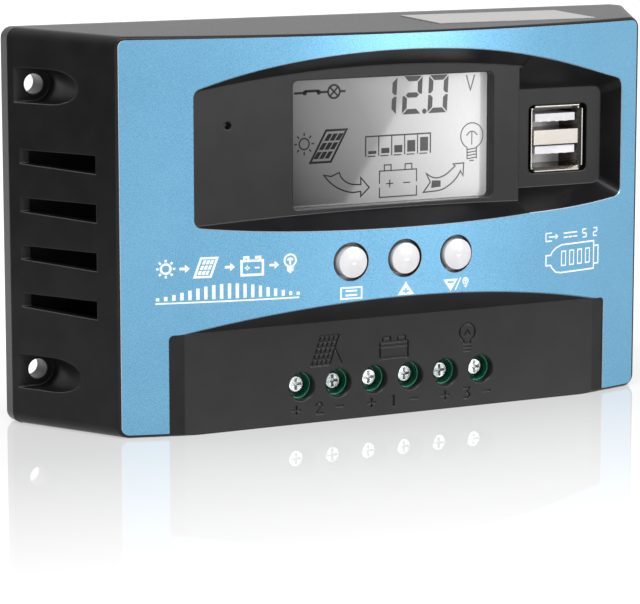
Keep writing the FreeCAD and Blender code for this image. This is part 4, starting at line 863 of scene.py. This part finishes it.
def print_display():
    low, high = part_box("display_glass")
    middle = ((low.x + high.x)/2, (low.z + high.z)/2)
    printed("display_segments", display_artwork(), "display_glass", display_ink(), middle)


def print_label():
    printed("label_graphics", label_artwork(), "front_label", label_print())


# Stage, light and camera --------------------------------------------------------------

FLOOR_SPAN = 10.0
FLOOR_CELLS = 40
MIRROR_FADE = (-0.19, -0.02)
BACKDROP_FADE = (0.03, 0.12)


def floor_white():
    """Glossy white table: its mirror image fades towards the front, and it is brightest at the back."""
    material, tree, shader, coords = new_shader("floor_white")
    cloud = noise(tree, coords, (60.0, 60.0, 60.0))
    front = along(tree, coords, "Y")
    tree.links.new(mixed(tree, cloud, (0.24, 0.24, 0.24), (0.25, 0.25, 0.25)), shader.inputs["Base Color"])
    mirror = ranged(tree, front, MIRROR_FADE, (0.0, 1.0))
    shader.inputs["Specular IOR Level"].default_value = 0.0
    tree.links.new(ranged(tree, cloud, (0.3, 0.7), (0.035, 0.045)), shader.inputs["Roughness"])
    tree.links.new(mirror, shader.inputs["Coat Weight"])
    shader.inputs["Coat Roughness"].default_value = 0.03
    shader.inputs["Emission Color"].default_value = (1.0, 1.0, 1.0, 1.0)
    near = ranged(tree, front, MIRROR_FADE, (0.82, 0.74))
    glow = math_node(tree, "ADD", near, ranged(tree, front, BACKDROP_FADE, (0.0, 0.5)))
    tree.links.new(glow, shader.inputs["Emission Strength"])
    return material


def make_floor():
    form = bmesh.new()
    bmesh.ops.create_grid(form, x_segments=FLOOR_CELLS, y_segments=FLOOR_CELLS, size=FLOOR_SPAN/2)
    mesh = bpy.data.meshes.new("floor")
    form.to_mesh(mesh)
    form.free()
    floor = bpy.data.objects.new("floor", mesh)
    bpy.context.scene.collection.objects.link(floor)
    mesh.materials.append(floor_white())


def card_dark(name, low, high):
    """Matt card that gets lighter from its foot (low) to its top (high)."""
    material, tree, shader, coords = new_shader(name)
    fade = ranged(tree, along(tree, coords, "Z"), (low, high), (0.0, 1.0))
    grain = noise(tree, coords, (2.0, 2.0, 2.0))
    shade = mixed(tree, fade, (0.02, 0.02, 0.02), (0.75, 0.75, 0.75))
    tree.links.new(mixed(tree, ranged(tree, grain, (0.3, 0.7), (0.0, 0.1)), shade, (0.1, 0.1, 0.1)),
                   shader.inputs["Base Color"])
    tree.links.new(ranged(tree, grain, (0.3, 0.7), (0.8, 0.9)), shader.inputs["Roughness"])
    relief(tree, shader, grain, 0.05)
    return material


def make_card(name, corners):
    """Card beyond the view that only shows as a dark shape in glossy surfaces."""
    form = bmesh.new()
    form.faces.new([form.verts.new(corner) for corner in corners])
    mesh = bpy.data.meshes.new(name)
    form.to_mesh(mesh)
    form.free()
    card = bpy.data.objects.new(name, mesh)
    bpy.context.scene.collection.objects.link(card)
    heights = [corner[2] for corner in corners]
    mesh.materials.append(card_dark(name, min(heights), max(heights)))
    card.visible_camera = False
    card.visible_shadow = False
    card.visible_diffuse = False


def make_cards():
    """One slanted edge in front for the display, and one wall beside the left side of the case."""
    ahead, left, right, foot, top = -0.3, 0.10, 0.176, -0.001, 0.056
    slant = [(0.172, 0.0496), (0.1434, 0.0067)]
    outline = slant + [(left, foot), (left, top), (right, top)]
    make_card("display_card", [(across, ahead, up) for across, up in outline])
    beside, reach, foot, top = -0.27, 0.35, 0.002, 0.45
    outline = [(-reach, foot), (reach, foot), (reach, top), (-reach, top)]
    make_card("side_card", [(beside, along_side, up) for along_side, up in outline])


def make_light(name, place, aim, size, power):
    data = bpy.data.lights.new(name, "AREA")
    data.shape = "RECTANGLE"
    data.size, data.size_y = size
    data.energy = power
    light = bpy.data.objects.new(name, data)
    light.location = place
    light.rotation_mode = "QUATERNION"
    light.rotation_quaternion = (Vector(aim) - Vector(place)).to_track_quat("-Z", "Y")
    bpy.context.scene.collection.objects.link(light)


def make_lights():
    """White surroundings, brightest at the horizon, and two soft boxes."""
    world = bpy.data.worlds.new("studio")
    bpy.context.scene.world = world
    world.use_nodes = True
    tree = world.node_tree
    background = tree.nodes["Background"]
    background.inputs["Color"].default_value = (1.0, 1.0, 1.0, 1.0)
    direction = tree.nodes.new("ShaderNodeTexCoord").outputs["Generated"]
    height = math_node(tree, "ABSOLUTE", along(tree, direction, "Z"), 0.0)
    tree.links.new(ranged(tree, height, (0.06, 0.16), (1.05, 0.85)), background.inputs["Strength"])
    middle = (cad_low + cad_high)/2
    make_light("soft_front", (0.5, -0.95, 0.2), middle, (0.35, 0.4), 2.8)
    make_light("soft_top", (-0.25, -0.45, 0.95), middle, (0.9, 0.35), 7.0)


def make_camera():
    """Camera at the left of the front and a little above, aimed low to leave room for the floor."""
    azimuth, elevation, distance = math.radians(-27.785), math.radians(9.396), 0.7075
    back = Vector((math.sin(azimuth)*math.cos(elevation), -math.cos(azimuth)*math.cos(elevation),
                   math.sin(elevation)))
    aim = (cad_low + cad_high)/2 + Vector((-11.4, 2.15, -20.4))*MM
    data = bpy.data.cameras.new("camera")
    data.sensor_width = 36.0
    data.lens = 169.75
    data.clip_start, data.clip_end = 0.05, 30.0
    camera = bpy.data.objects.new("camera", data)
    camera.location = aim + back*distance
    camera.rotation_mode = "QUATERNION"
    camera.rotation_quaternion = (-back).to_track_quat("-Z", "Y")
    bpy.context.scene.collection.objects.link(camera)
    bpy.context.scene.camera = camera


paint_nodes()
print_display()
print_label()
make_floor()
make_cards()
make_lights()
make_camera()
bpy.context.scene.view_settings.view_transform = "Standard"
